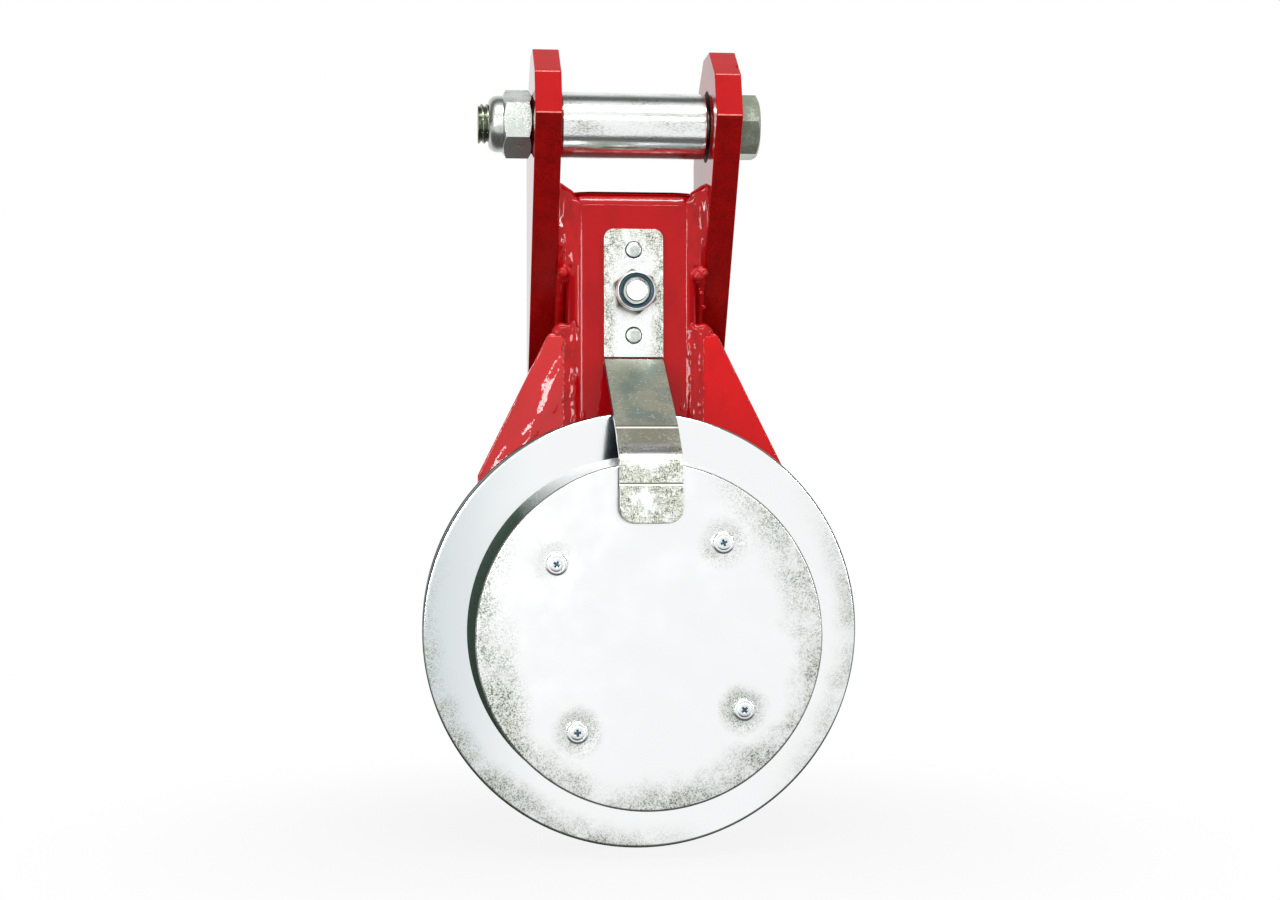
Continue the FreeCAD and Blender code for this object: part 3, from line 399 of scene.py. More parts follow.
class Finish(Nodes):
    """Material with one main shader, patterned on the place in the object."""

    def __init__(self, name):
        self.material = bpy.data.materials.new(name)
        self.material.use_nodes = True
        super().__init__(self.material.node_tree)
        self.out = self.add("OutputMaterial")
        self.shader = self.add("BsdfPrincipled")
        self.join(self.shader.outputs["BSDF"], self.out.inputs["Surface"])
        self.place = self.add("TexCoord").outputs["Object"]

    def noise(self, size_mm, detail, rough, stretch=(1, 1, 1), turn_deg=0.0):
        """Cloudy 0 to 1 pattern, stretched along the axes or along axes turned about Y."""
        mapping = self.add("Mapping", vector_type="TEXTURE" if turn_deg else "POINT")
        mapping.inputs["Scale"].default_value = [1 / v for v in stretch] if turn_deg else stretch
        mapping.inputs["Rotation"].default_value = (0, radians(turn_deg), 0)
        self.join(self.place, mapping.inputs["Vector"])
        node = self.add("TexNoise")
        for key, value in (("Scale", 1.0 / (size_mm * MM)), ("Detail", detail), ("Roughness", rough)):
            node.inputs[key].default_value = value
        self.join(mapping.outputs[0], node.inputs["Vector"])
        return node.outputs["Fac"]

    def axes(self):
        node = self.add("SeparateXYZ")
        self.join(self.place, node.inputs[0])
        return node.outputs

    def from_place(self, x, z):
        """How far a point lies from (x, z) along X and along Z, in metres; x and z are in millimetres."""
        across, depth, up = self.axes()
        return (self.plus(across, -x * MM) if x else across), self.plus(up, -z * MM)

    def radius_from_axle(self):
        """Distance from the axle's line, in millimetres."""
        return self.times(self.length(*self.from_place(0, AXLE_Z)), 1000.0)

    def lean(self, x, z, *reach):
        """Spread of how far a point lies towards (x, z) from the axle, in millimetres."""
        across, up = self.from_place(0, AXLE_Z)
        return self.spread(self.times(self.plus(self.times(across, x), self.times(up, z)), 1000.0), *reach)

    def warped(self, radius, drift, reach_mm):
        """A radius made uneven by a slow drift."""
        return self.plus(radius, self.times(self.math("SUBTRACT", drift, 0.5), reach_mm))

    def bump(self, height, depth_mm, strength, after=None):
        node = self.add("Bump")
        node.inputs["Strength"].default_value = strength
        node.inputs["Distance"].default_value = depth_mm * MM
        self.join(height, node.inputs["Height"])
        if after is not None:
            self.join(after, node.inputs["Normal"])
        self.join(node.outputs[0], self.shader.inputs["Normal"])
        return node.outputs[0]

    def set(self, **values):
        names = {"colour": "Base Color", "metal": "Metallic", "rough": "Roughness", "coat": "Coat Weight",
            "coat_rough": "Coat Roughness", "coat_ior": "Coat IOR", "specular": "Specular IOR Level"}
        for key, value in values.items():
            self.put(value, self.shader.inputs[names[key]])
        if "coat" in values and self.shader.inputs["Normal"].is_linked:
            normal = self.shader.inputs["Normal"].links[0].from_socket
            self.join(normal, self.shader.inputs["Coat Normal"])
        return self.material


SAG = (1, 1, 0.6)
PAINT_GRAIN = (0.6, 1, 1.3)


def red_paint(name, red, coat=1.0, coat_ior=1.3):
    """Thick glossy enamel, calm on flat faces and a little wavy along the tube's top edge."""
    mat = Finish(name)
    x, y, z = mat.axes()
    sag = mat.noise(7, 2, 0.5, SAG)
    ripple = mat.noise(4.5, 2, 0.45)
    orange_peel = mat.noise(1.1, 2, 0.5)
    grain = mat.noise(0.55, 3, 0.75, PAINT_GRAIN)
    colour = mat.blend(mat.spread(sag, 0.4, 0.8), (red, 0.0030, 0.0050), (red * 0.88, 0.0022, 0.0040))
    colour = mat.blend(mat.spread(grain, 0.60, 0.80, 0, 0.15), colour, (0.16, 0.001, 0.0015))
    low_edge = (TUBE_TOP - 7) * MM
    tube_top = mat.times(mat.spread(z, low_edge, low_edge + 0.003), mat.spread(mat.math("ABSOLUTE", x), 0.033,
        0.031))
    wave = mat.times(ripple, mat.plus(0.08, mat.times(tube_top, 0.4)))
    mat.bump(orange_peel, 0.03, 0.3, mat.bump(wave, 0.6, 0.8, mat.bump(sag, 0.2, 0.25)))
    if coat < 1.0:
        coat = mat.plus(coat, mat.times(tube_top, 1.0 - coat))
    return mat.set(colour=colour, rough=mat.spread(orange_peel, 0.3, 0.7, 0.3, 0.4), coat=coat,
        coat_rough=0.03, coat_ior=coat_ior, specular=0.0)


def shaded_edge_paint():
    """Enamel over rough sawn edges: grainy, and darker as painted shade where the edges face forward and down.
    """
    mat = Finish("red paint on sawn edge with painted shade")
    sag = mat.noise(7, 2, 0.5, SAG)
    grain = mat.noise(0.55, 3, 0.75, PAINT_GRAIN)
    colour = mat.blend(mat.spread(sag, 0.3, 0.75), (0.33, 0.003, 0.0025), (0.25, 0.002, 0.0018))
    colour = mat.blend(mat.spread(grain, 0.46, 0.62, 0, 0.8), colour, (0.10, 0.001, 0.001))
    mat.bump(grain, 0.05, 0.6, mat.bump(sag, 0.15, 0.2))
    return mat.set(colour=colour, rough=mat.spread(grain, 0.3, 0.7, 0.26, 0.42), coat=0.5, coat_rough=0.12,
        coat_ior=1.15, specular=0.05)


def run_paint(name, waves, fine, edges, colours, wave_bump, fine_bump, coat, coat_ior):
    """The same enamel where it ran: broad waves or lumps under fine dimples or pits."""
    mat = Finish(name)
    waves, fine = mat.noise(*waves), mat.noise(*fine)
    colour = mat.blend(mat.spread(waves, *edges), *colours)
    mat.bump(fine, *fine_bump, mat.bump(waves, *wave_bump))
    return mat.set(colour=colour, rough=mat.spread(fine, 0.3, 0.7, 0.2, 0.3), coat=coat, coat_rough=0.03,
        coat_ior=coat_ior, specular=0.0)


def speckled(name, speck, colours, rough, edges=(0.35, 0.65), pit=(0.03, 0.3), **rest):
    """Plain finish with one fine speckle in its colour, gloss and surface."""
    mat = Finish(name)
    fleck = mat.noise(*speck)
    mat.bump(fleck, *pit)
    return mat.set(colour=mat.blend(mat.spread(fleck, *edges) if edges else fleck, *colours),
        rough=mat.spread(fleck, 0.3, 0.7, *rough), **rest)


ZINC_LIGHT = (0.89, 0.91, 0.91)
ZINC_PALE_GREY = (0.58, 0.61, 0.55)
# Painted shade: the dark line round the flange's rim
RIM_SHADE_TONE = (0.065, 0.105, 0.082)
# Dull places: the tone between the specks and that of the specks
DULL = ((0.34, 0.365, 0.30), (0.060, 0.078, 0.058))
OLIVE = ((0.33, 0.335, 0.245), (0.070, 0.078, 0.052))


def zinc(mat, stain, rough=(0.13, 0.26), grain_mm=0.6, light=ZINC_LIGHT, stretch=(1, 1, 1), dark=None,
        dull=DULL, grit=0.02, cross=False, bite=0.85, metal=1.0, blur=0.18, matte=0.0):
    """Bright zinc plating. stain is a 0 to 1 mask of dull, speckled places, and dark one of places painted
    dark as shade.
    cross draws the specks along X and Z; bite, blur and matte set how far the stains darken and dull."""
    cloud = mat.noise(14, 4, 0.6, stretch)
    speck = mat.noise(grain_mm, 2, 0.6, stretch)
    if cross:
        upright = mat.noise(grain_mm * 1.6, 3, 0.7, (1, 1, 0.22))
        level = mat.noise(grain_mm * 1.6, 3, 0.7, (0.22, 1, 1))
        speck = mat.times(mat.plus(speck, mat.larger(upright, level)), 0.48)
    fine = mat.noise(grain_mm * 3, 3, 0.7, stretch)
    patch = stain if cross else mat.times(stain, mat.spread(cloud, 0.34, 0.60, 0.25, 1.0))
    grey = mat.blend(mat.spread(fine, 0.38, 0.62), dull[0], ZINC_PALE_GREY)
    colour = mat.blend(mat.times(patch, 0.75), light, grey)
    dots = mat.times(patch, mat.spread(speck, 0.49, 0.55 if cross else 0.60))
    colour = mat.blend(mat.times(dots, bite), colour, dull[1])
    worn = mat.plus(mat.spread(cloud, 0.2, 0.8, *rough), mat.plus(mat.times(patch, blur), matte))
    if dark is not None:
        colour = mat.blend(dark, colour, RIM_SHADE_TONE)
        worn = mat.plus(worn, mat.times(dark, 0.12))
    mat.bump(cloud, 0.05, 0.2, mat.bump(speck, grit, 0.35))
    return mat.set(colour=colour, metal=metal, rough=worn)


def cover_zinc():
    """Cover plating: clean middle, speckled dull patches towards the rim and round the screws."""
    mat = Finish("cover zinc plate")
    warped = mat.warped(mat.radius_from_axle(), mat.noise(38, 3, 0.6), 40.0)
    rim = mat.spread(warped, 60.0, 80.0)
    low = mat.lean(0.35, -0.94, -20.0, 40.0)
    left = mat.lean(-1.0, -0.12, 50.0, 66.0)
    right = mat.lean(0.98, 0.2, 30.0, 66.0, 0.0, 0.75)
    stain = mat.larger(mat.times(rim, mat.larger(low, right)), mat.times(left, mat.spread(warped, 59.0,
        77.0)))
    for (x, z), strength in zip(COVER_SCREWS, (0.8, 0.25, 0.75, 0.9)):
        gap = mat.length(*mat.from_place(x, z))
        stain = mat.larger(stain, mat.spread(gap, 0.0045, 0.0135, strength, 0.0))
    return zinc(mat, stain, rough=(0.15, 0.26), grain_mm=0.65)


def shaded_wall_plate():
    """Cover's drawn side, toned by where it faces as painted shade and light: dull dark olive on the left,
    paler towards the bottom, bright zinc towards the top.
    """
    mat = Finish("cover side plating with painted shade and light")
    speck = mat.noise(0.8, 3, 0.7)
    tone = mat.blend(mat.spread(speck, 0.40, 0.62), (0.036, 0.062, 0.048), (0.085, 0.125, 0.095))
    pale = mat.blend(mat.spread(speck, 0.35, 0.60), (0.16, 0.19, 0.15), (0.42, 0.45, 0.39))
    # Painted shade: darkest and least metallic on the left; painted light: brightest towards the top
    low = mat.lean(0.26, -0.97, 22.0, 62.0)
    dull = mat.lean(-0.985, -0.17, 16.0, 50.0)
    bright = mat.blend(mat.lean(0.0, 1.0, -10.0, 20.0), pale, ZINC_LIGHT)
    mat.bump(speck, 0.03, 0.3)
    return mat.set(colour=mat.blend(dull, bright, mat.blend(low, tone, pale)), metal=mat.rest(dull),
        rough=mat.spread(speck, 0.3, 0.7, 0.25, 0.4), specular=0.0)


def shadowed_plate(name, tone):
    """Dull plating that the light does not reach."""
    return speckled(name, (1.4, 3, 0.65), (tone, tuple(c * 1.7 for c in tone)), (0.3, 0.45), metal=0.3,
        specular=0.15)


def flange_zinc():
    """Flange plating: dull speckle along the lower left and right of its rim; painted shade as a dark line
    round the rim's edge and bluish grey towards the left.
    """
    mat = Finish("flange zinc plate")
    radius = mat.radius_from_axle()
    rim = mat.spread(mat.warped(radius, mat.noise(30, 3, 0.6), 16.0), 88.0, 102.0)
    low_left = mat.lean(-0.75, -0.66, 35.0, 85.0)
    right = mat.lean(0.99, -0.1, 60.0, 100.0, 0.0, 0.6)
    # Painted shade: a dark line round the rim's edge
    edge = mat.times(mat.spread(radius, 100.5, 101.3), 0.85)
    stain = mat.times(rim, mat.larger(low_left, right))
    # Painted shade: bluish grey towards the left
    light = mat.blend(mat.lean(-1.0, 0.0, 45.0, 98.0), ZINC_LIGHT, (0.68, 0.73, 0.75))
    return zinc(mat, stain, rough=(0.06, 0.13), light=light, dark=edge)


def strap_zinc():
    """Strap plating: olive tarnish along its sides and both ends; a dark olive slope, which is painted
    reflection and shade; a painted shadow line and a painted highlight along each crease.
    """
    mat = Finish("strap zinc plate")
    x, y, z = mat.axes()
    side = mat.math("ABSOLUTE", x)
    edge = mat.spread(side, 0.0060, 0.0125)
    top = mat.times(mat.spread(z, -0.073, -0.054), mat.spread(side, 0.0, 0.008, 0.6, 1.0))
    grain = mat.noise(7, 4, 0.65, SAG)
    stain = mat.times(mat.larger(edge, top), mat.spread(grain, 0.34, 0.52, 0.3, 1.0))
    tip = mat.times(mat.spread(mat.plus(z, mat.times(side, -0.9)), -0.160, -0.174),
        mat.spread(mat.noise(10, 3, 0.6), 0.36, 0.54, 0.25, 1.0))
    stain = mat.larger(stain, tip)
    # Painted reflection and shade: the slope is dark teal to olive and less metallic, darker still past the
    # crease
    slope = mat.times(mat.spread(y, -0.0062, -0.0072), mat.spread(y, -0.0770, -0.0725))
    below_crease = mat.times(slope, mat.spread(y, -0.0624, -0.0626))
    haze = mat.spread(mat.noise(16, 3, 0.55), 0.38, 0.62)
    light = mat.blend(slope, ZINC_LIGHT, mat.blend(haze, (0.145, 0.195, 0.165), (0.25, 0.27, 0.20)))
    light = mat.blend(below_crease, light, (0.21, 0.215, 0.16))
    scratch = mat.spread(mat.noise(1.1, 2, 0.5, (1, 1, 0.12)), 0.60, 0.70, 0.0, 0.5)
    light = mat.blend(mat.times(slope, scratch), light, (0.66, 0.67, 0.61))
    light = mat.blend(mat.times(tip, 0.3), light, (0.42, 0.45, 0.39))
    stain = mat.times(mat.larger(stain, 0.12), mat.rest(mat.times(slope, 0.55)))
    # Painted shadow line just above each crease, and painted highlight along it
    for height in STRAP_CREASES:
        for drop, tone in ((0.7, (0.12, 0.13, 0.09)), (0.0, (0.95, 0.94, 0.90))):
            line = mat.math("ABSOLUTE", mat.plus(z, -(height + drop) * MM))
            crease = mat.spread(line, 0.00055, 0.00025)
            light = mat.blend(crease, light, tone)
            stain = mat.times(stain, mat.rest(crease))
    return zinc(mat, stain, rough=(0.17, 0.27), grain_mm=0.42, light=light, dull=OLIVE, cross=True, bite=1.0,
        metal=mat.rest(mat.times(slope, 0.7)), matte=mat.times(slope, 0.22))


def simple_zinc(name, amount, grain_mm, stretch=(1, 1, 1), **look):
    """Plating with the same amount of dull speckle all over."""
    mat = Finish(name)
    stain = mat.spread(mat.noise(6, 3, 0.6, stretch), 0.40, 0.65, amount * 0.3, amount)
    return zinc(mat, stain, grain_mm=grain_mm, stretch=stretch, **look)


def turned_steel(name, colour):
    """Bare steel with fine lathe rings round the axle."""
    mat = Finish(name)
    ring = mat.noise(0.35, 2, 0.5, (0.02, 1, 0.02))
    blot = mat.noise(8, 3, 0.6)
    tone = mat.blend(mat.spread(blot, 0.35, 0.65), colour, tuple(c * 0.75 for c in colour))
    mat.bump(ring, 0.02, 0.4)
    return mat.set(colour=tone, metal=1.0, rough=mat.spread(blot, 0.3, 0.7, 0.22, 0.36))


def nylon(name, colour):
    return speckled(name, (1.2, 3, 0.6), (colour, tuple(c * 0.55 for c in colour)), (0.3, 0.45), (0.35, 0.7),
        (0.04, 0.3), coat=0.2)


# The same red paint all over: the tube's red is set darker as painted shade and the cheek's lighter as painted
# light, against the ears' red
RED = red_paint("red gloss paint", 0.45)
RED_TUBE_SHADED = red_paint("red gloss paint on tube, darker as painted shade", 0.42, 0.34, 1.6)
RED_CHEEK_LIT = red_paint("red gloss paint on cheek, lighter as painted light", 0.62)
RED_EDGE_SHADED = shaded_edge_paint()
# In waves down the left horn, lighter than the ears' red as painted light like the cheek's, and shinier over
# the weld beads
RED_WAVY = run_paint("red wavy gloss paint", (13.0, 1, 0.5, (1, 1, 0.42), 27), (3.0, 2, 0.5), (0.4, 0.8),
    ((0.58, 0.0030, 0.0050), (0.50, 0.0022, 0.0040)), (3.4, 1.0), (0.18, 0.5), 1.0, 1.55)
RED_WELD = run_paint("red paint over weld", (4.0, 2, 0.5, SAG), (0.9, 3, 0.6), (0.35, 0.7), ((0.46, 0.0030,
    0.0050), (0.36, 0.0020, 0.0035)), (0.25, 0.5), (0.03, 0.3), 0.42, 1.6)
# Painted highlight: pale pink along the ears' facet edges; and painted shade: near black in the narrow gaps
# beside the cross bolt
RED_PAINTED_HIGHLIGHT = speckled("painted highlight on red edge", (0.9, 3, 0.7), ((0.86, 0.30, 0.24), (0.66, 0.10, 0.08)),
    (0.2, 0.3), (0.3, 0.7), (0.02, 0.3), specular=0.2)
GAP_SHADE = speckled("painted shade in narrow gaps", (1.5, 3, 0.6), ((0.012, 0.009, 0.008), (0.03, 0.018, 0.014)), (0.5, 0.7), None,
    (0.03, 0.4), specular=0.1)
ZINC_COVER = cover_zinc()
ZINC_FLANGE = flange_zinc()
ZINC_STRAP = strap_zinc()
ZINC_SLEEVE = simple_zinc("sleeve zinc plate", 0.6, 0.5, (0.3, 1, 1), grit=0.08, rough=(0.10, 0.17),
    blur=0.08)
ZINC_NUT = simple_zinc("nut zinc plate", 0.6, 0.4, light=(0.58, 0.62, 0.59), grit=0.03)
ZINC_BOLT = simple_zinc("bolt zinc plate", 0.7, 0.4, light=(0.26, 0.29, 0.22), grit=0.04)
ZINC_SCREW = simple_zinc("screw zinc plate", 0.3, 0.3, light=(0.80, 0.83, 0.84))
# Painted shade: dark plating on the strap's back and left side, the pins' sides, inside the screw slots and on
# the strap nut's flats
ZINC_BLUE = shadowed_plate("blue-grey shadowed plating", (0.010, 0.020, 0.028))
ZINC_RECESS = shadowed_plate("plating inside the screw slots", (0.055, 0.14, 0.20))
ZINC_SHOULDER = shadowed_plate("plating on the nut's flats", (0.10, 0.11, 0.085))
WALL = shaded_wall_plate()
ZINC_WHEEL = simple_zinc("wheel zinc plate", 0.6, 0.7)
STEEL = turned_steel("turned steel", (0.50, 0.51, 0.52))
BEARING = turned_steel("ground bearing steel", (0.68, 0.69, 0.70))
ZINC_RIM = simple_zinc("nut's rolled rim plating", 0.1, 0.4, light=(0.95, 0.96, 0.96), grit=0.0, rough=(0.34,
    0.42))
NYLON = nylon("blue nylon", (0.012, 0.055, 0.085))
SEAL = nylon("seal rubber", (0.02, 0.02, 0.021))


# Frame


def ear(side):
    """Thick ear plate: sawn from a block along its facets, broken at its edges, then drilled."""
    hand = "right" if side > 0 else "left"
    x0, x1 = sorted((side * EAR_IN, side * EAR_OUT))
    piece = block((x0, -EAR_TOP_R, EAR_FOOT), (x1, TUBE_BACK, EAR_TOP_R))
    corners = [(-EAR_TOP_R, 0.0)]
    for angle in map(radians, (35, 74, 106, 145)):
        corners.append((-EAR_TOP_R * cos(angle), EAR_TOP_R * sin(angle)))
    corners.append((TUBE_BACK, -12.0))
    foot = (TUBE_BACK - 11.0, EAR_FOOT)
    for (ya, za), (yb, zb) in [*zip(corners, corners[1:]), (foot, corners[0])]:
        slice_off(piece, (0, ya, za), (0, za - zb, yb - ya))
    merged(piece)
    soften(piece, 0.55, 3)
    if side > 0:
        notch_x = EAR_OUT - 0.2
        carve(piece, rod(1.6, (notch_x, -24.5, 32), (notch_x, -22.0, 22.0), 24))
    # A shallow disc round the bolt hole on the inner face, to carry painted shade in the gap beside the
    # sleeve's end
    shade_disc_x = side * (EAR_IN + 0.12)
    carve(piece, rod(17.3, (side * (EAR_IN - 1), 0, 0), (shade_disc_x, 0, 0), 96))
    carve(piece, rod(HANGER_BOLT_R + 0.25, (x0 - 1, 0, 0), (x1 + 1, 0, 0)))
    fit_out(piece, f"ear_plate_{hand}", "red_paint", RED, f"ear_{hand}", angle=PLATE)
    # Painted shade: the lower front edges, which face forward and down, are painted darker
    refinish(piece, RED_EDGE_SHADED, lambda at, way: way.y < -0.7 and way.z < -0.3)
    # Painted highlight along the bevels where the ears' front facets meet
    refinish(piece, RED_PAINTED_HIGHLIGHT, lambda at, way: abs(way.x) < 0.05 and way.y < -0.5 and at.z > -10
        and (-0.20 < way.z < 0.22 or 0.36 < way.z < 0.66))
    refinish(piece, GAP_SHADE, lambda at, way: abs(way.x) > 0.9 and abs(at.x - shade_disc_x) < 0.01)


def square_tube():
    """Tube with its welded and ground top cap as one painted body, rounded where the weld was ground."""
    piece = block((-TUBE_HALF_W, TUBE_FRONT, TUBE_BOTTOM), (TUBE_HALF_W, TUBE_BACK, TUBE_TOP))
    round_edges(piece, 8.0, 8, lambda at, way: abs(way.z) > 0.9)
    round_edges(piece, 5.0, 7, lambda at, way: at.z > TUBE_TOP - 0.1 and abs(way.z) < 0.1)
    round_edges(piece, 2.0, 4, lambda at, way: at.z < TUBE_BOTTOM + 0.1 and abs(way.z) < 0.1)
    merged(piece)
    fit_out(piece, "square_tube", "red_paint", RED_TUBE_SHADED, "hanger_tube", "tube_top_cap",
        "tube_bottom_cap", angle=ROUNDED)


def cheek():
    """Cheek plate: round bottom about the axle, straight sides, two horns beside the tube."""
    front, back = TUBE_FRONT, TUBE_FRONT + CHEEK_THICK
    y0, y1 = front - 1, back + 1
    piece = block((-CHEEK_R, front, CHEEK_LOW), (CHEEK_R, back, HORN_TIP))
    for side in (1, -1):
        slice_off(piece, (side * CHEEK_R, 0, HORN_FOOT), (side * (HORN_TIP - HORN_FOOT), 0,
            CHEEK_R - HORN_TIP_X))
    bowl = rod(CHEEK_R, (0, y0, AXLE_Z), (0, y1, AXLE_Z), 128)
    carve(bowl, block((-CHEEK_R - 5, y0, AXLE_Z), (CHEEK_R + 5, y1, HORN_TIP + 9)), "UNION")
    carve(piece, bowl, "INTERSECT")
    carve(piece, block((-TUBE_HALF_W, y0, TUBE_BOTTOM), (TUBE_HALF_W, y1, HORN_TIP + 19)))
    merged(piece)
    round_edges(piece, 4.0, 5, lambda at, way: abs(way.y) > 0.9 and at.z > HORN_TIP - 1)
    carve(piece, rod(AXLE_HOLE_R, (0, y0, AXLE_Z), (0, y1, AXLE_Z)))
    soften(piece, 0.7, 3)
    edit_all(piece)
    bpy.ops.mesh.bisect(plane_co=(WAVY_X * MM, 0, 0), plane_no=(1, 0, 0))
    done()
    fit_out(piece, "cheek_plate_painted", "red_paint", RED_CHEEK_LIT, "cheek_plate", angle=PLATE)
    refinish(piece, RED_WAVY, lambda at, way: way.y < -0.3 and at.x < WAVY_X + 0.1)


def run(rng, points, radius, stretch, step, wander):
    """Puddles laid one after another along a line of points."""
    puddles = []
    for start, end in zip(points, points[1:]):
        start, end = Vector(start), Vector(end)
        count = max(2, int((end - start).length / step))
        for k in range(count):
            place = start.lerp(end, k / count)
            place += Vector((rng.uniform(-1, 1), rng.uniform(-1, 1), rng.uniform(-1, 1))) * radius * wander
            puddles.append(ball(radius * rng.uniform(0.94, 1.05), place, stretch))
    return puddles


def fused(puddles, cell, rounds):
    """Melt puddles into one skin."""
    piece = joined(puddles)
    modify(piece, "REMESH", mode="VOXEL", voxel_size=cell * MM)
    return modify(piece, "SMOOTH", factor=0.75, iterations=rounds)


# Weld shapes are drawn for the right side and mirrored to the left by the sign of x.
# Flush front fill between tube and ear, from its top down: height, then its (x, y) corners
EAR_FILL = [[(x, y, z) for x, y in corners] for z, *corners in (
    (TUBE_TOP + 3.6, (34.2, 6), (34.2, 0.5), (34.8, -0.8), (35.6, -2.2), (36.6, -3.6), (36.6, 6)),
    (TUBE_TOP - 0.5, (28.4, 6), (28.4, 0.2), (30.6, -1.6), (33.4, -2.9), (36.6, -4.6), (36.6, 6)),
    (TUBE_TOP - 6.0, (25.0, 6), (25.0, -2.6), (29.0, -3.05), (33.0, -3.5), (36.6, -5.2), (36.6, 6)),
    (-50.0, (25.0, 6), (25.0, -2.6), (29.0, -3.05), (33.0, -3.4), (36.6, -4.8), (36.6, 6)),
    (-58.0, (25.0, 6), (25.0, -2.6), (29.0, -3.0), (33.0, -3.0), (36.6, -1.4), (36.6, 7)),
    (-67.0, (25.0, 8), (25.0, -2.6), (29.0, -2.6), (33.0, -1.6), (36.6, 3.6), (36.6, 9)),
    (-76.0, (25.4, 10), (25.4, -1.8), (28.6, -0.8), (32.4, 4.0), (36.6, 9.2), (36.6, 13)))]
# Sloping fillet over the tube's top: its section at both ends
EAR_FILLET = [[(28.6, y, TUBE_TOP - 4.0), (28.6, y, TUBE_TOP - 0.2), (36.6, y, TUBE_TOP + 4.8),
    (36.6, y, TUBE_TOP - 4.0)] for y in (0.0, 46.5)]
# Runs: points, radius, stretch, step and wander
EAR_RUNS = ((((34.2, 7.6, -72), (34.4, 24.6, -101)), 2.9, (1, 1, 1.3), 1.3, 0.06),
            (((33.2, TUBE_BACK - 3.6, TUBE_TOP - 2), (33.2, TUBE_BACK - 3.6, -122)), 3.9, (1, 1, 1.3), 2.0,
             0.08))
# Drips where the fill ends: place and radius, on the left and on the right
EAR_DRIPS = {-1: (((33.8, -0.2, -71.0), 3.3), ((33.6, -2.9, -46.5), 1.5)),
             1: (((31.6, -1.0, -72.5), 3.0), ((34.6, 0.2, -70.5), 3.0), ((33.8, 2.4, -80.5), 1.8),
                 ((35.2, 5.4, -87.0), 1.6))}
# Flat bed beside the tube, with three ridges and a hook over the horn's tip
CHEEK_BED = [[(x, y, z) for x, y in ((25.0, 3.0), (25.0, -2.6), (29.0, -3.0), (33.0, -3.1), (34.8, -2.6),
    (34.8, 3.0))] for z in (-97.5, -187.0)]
CHEEK_RUNS = ((((33.3, -1.9, -101), (33.6, -1.9, -187)), 1.7, (1.3, 0.85, 2.3), 3.4, 0.16),
              (((28.6, -1.9, -99), (28.2, -2.1, -187)), 1.8, (1.3, 0.85, 2.6), 4.0, 0.16),
              (((23.8, -2.3, -136), (23.2, -2.4, -187)), 1.2, (1.5, 0.8, 3.2), 4.4, 0.2),
              (((29.0, -1.2, -99.6), (34.6, -1.2, -98.8), (37.4, -1.1, -101.0)), 2.4, (1.2, 0.9, 1.4), 0.9,
               0.04))


def beads(name, node, seed, solids, runs, drips, cell, rounds):
    """Weld beads on both sides: solid beds, runs of puddles and drips, melted together."""
    made = []
    for side in (-1, 1):
        rng = random.Random(seed + side)
        lumps = [loft([[(side * x, y, z) for x, y, z in outline] for outline in solid]) for solid in solids]
        for points, radius, stretch, step, wander in runs:
            lumps += run(rng, [(side * x, y, z) for x, y, z in points], radius, stretch, step, wander)
        lumps += [ball(radius, (side * x, y, z), (1, 0.8, 0.95)) for (x, y, z), radius in drips[side]]
        made.append(fused(lumps, cell, rounds))
    fit_out(joined(made), name, "red_paint", RED_WELD, node, angle=BEAD)


# Fasteners


def hex_body(across_flats, height, bevel_both, spin_deg=0.0):
    """Hexagon along Z from 0 to height, its corners turned off at the far end, and the near end if asked."""
    deselect()
    corner = across_flats / sqrt(3)
    bpy.ops.mesh.primitive_cylinder_add(vertices=6, radius=corner * MM, depth=height * MM, location=(0, 0,
        height / 2 * MM), rotation=(0, 0, radians(spin_deg)))
    piece = placed()
    face_r, outside_r = across_flats * 0.475, corner + 0.05
    drop = (corner - face_r) * tan(radians(30))
    rings = [(face_r, 0), (outside_r, drop)] if bevel_both else [(outside_r, 0)]
    rings += [(outside_r, height - drop), (face_r, height)]
    carve(piece, turned(rings, 72), "INTERSECT")
    return soften(piece, 0.25, 2, 25)


def thread(radius, pitch, start, end, chamfer, nose=0.0):
    """Threaded stud along Z from start to end, with a chamfered tip, the last nose of it bare."""
    root = radius - pitch * 0.5
    steps = 56
    deselect()
    bpy.ops.mesh.primitive_plane_add(size=1)
    seed = bpy.context.object
    edit(seed)
    mesh = bmesh.from_edit_mesh(seed.data)
    bmesh.ops.delete(mesh, geom=mesh.verts[:], context="VERTS")
    outline = [(root, 0.0), (radius, 0.42), (radius, 0.58), (root, 1.0)]
    corners = [mesh.verts.new((r * MM, 0, (start - pitch + z * pitch) * MM)) for r, z in outline]
    for a, b in zip(corners, corners[1:]):
        mesh.edges.new((a, b))
    bmesh.update_edit_mesh(seed.data)
    done()
    modify(seed, "SCREW", angle=tau, screw_offset=pitch * MM, iterations=int((end - start) / pitch) + 2,
        steps=steps, render_steps=steps, use_merge_vertices=True, merge_threshold=0.01 * MM, axis="Z")
    merged(seed, 0.01)
    core = turned([(root - 0.02, start - pitch), (root - 0.02, end - nose - 0.02)], steps)
    slice_off(seed, (0, 0, end - nose), (0, 0, 1))
    cap = turned([(root + 0.05, end - nose - 0.6), (root + 0.05, end - nose - 0.25), (radius - chamfer - 0.3,
        end), (radius - chamfer - 0.8, end - 0.15)], steps)
    return joined([seed, core, cap])


def locknut(axis, at, flats, height, spin_deg, bore_r, collar):
    """Bored hexagon nut with the rolled collar that holds its nylon ring."""
    nut = settle(hex_body(flats, height, True, spin_deg), axis, at)
    rolled = settle(turned(collar, 96, True), axis, at)
    out = Vector((-1, 0, 0) if axis == "-x" else (0, -1, 0))
    carve(nut, rod(bore_r, Vector(at) + out * 20, Vector(at) - out * 2))
    return joined([nut, rolled])


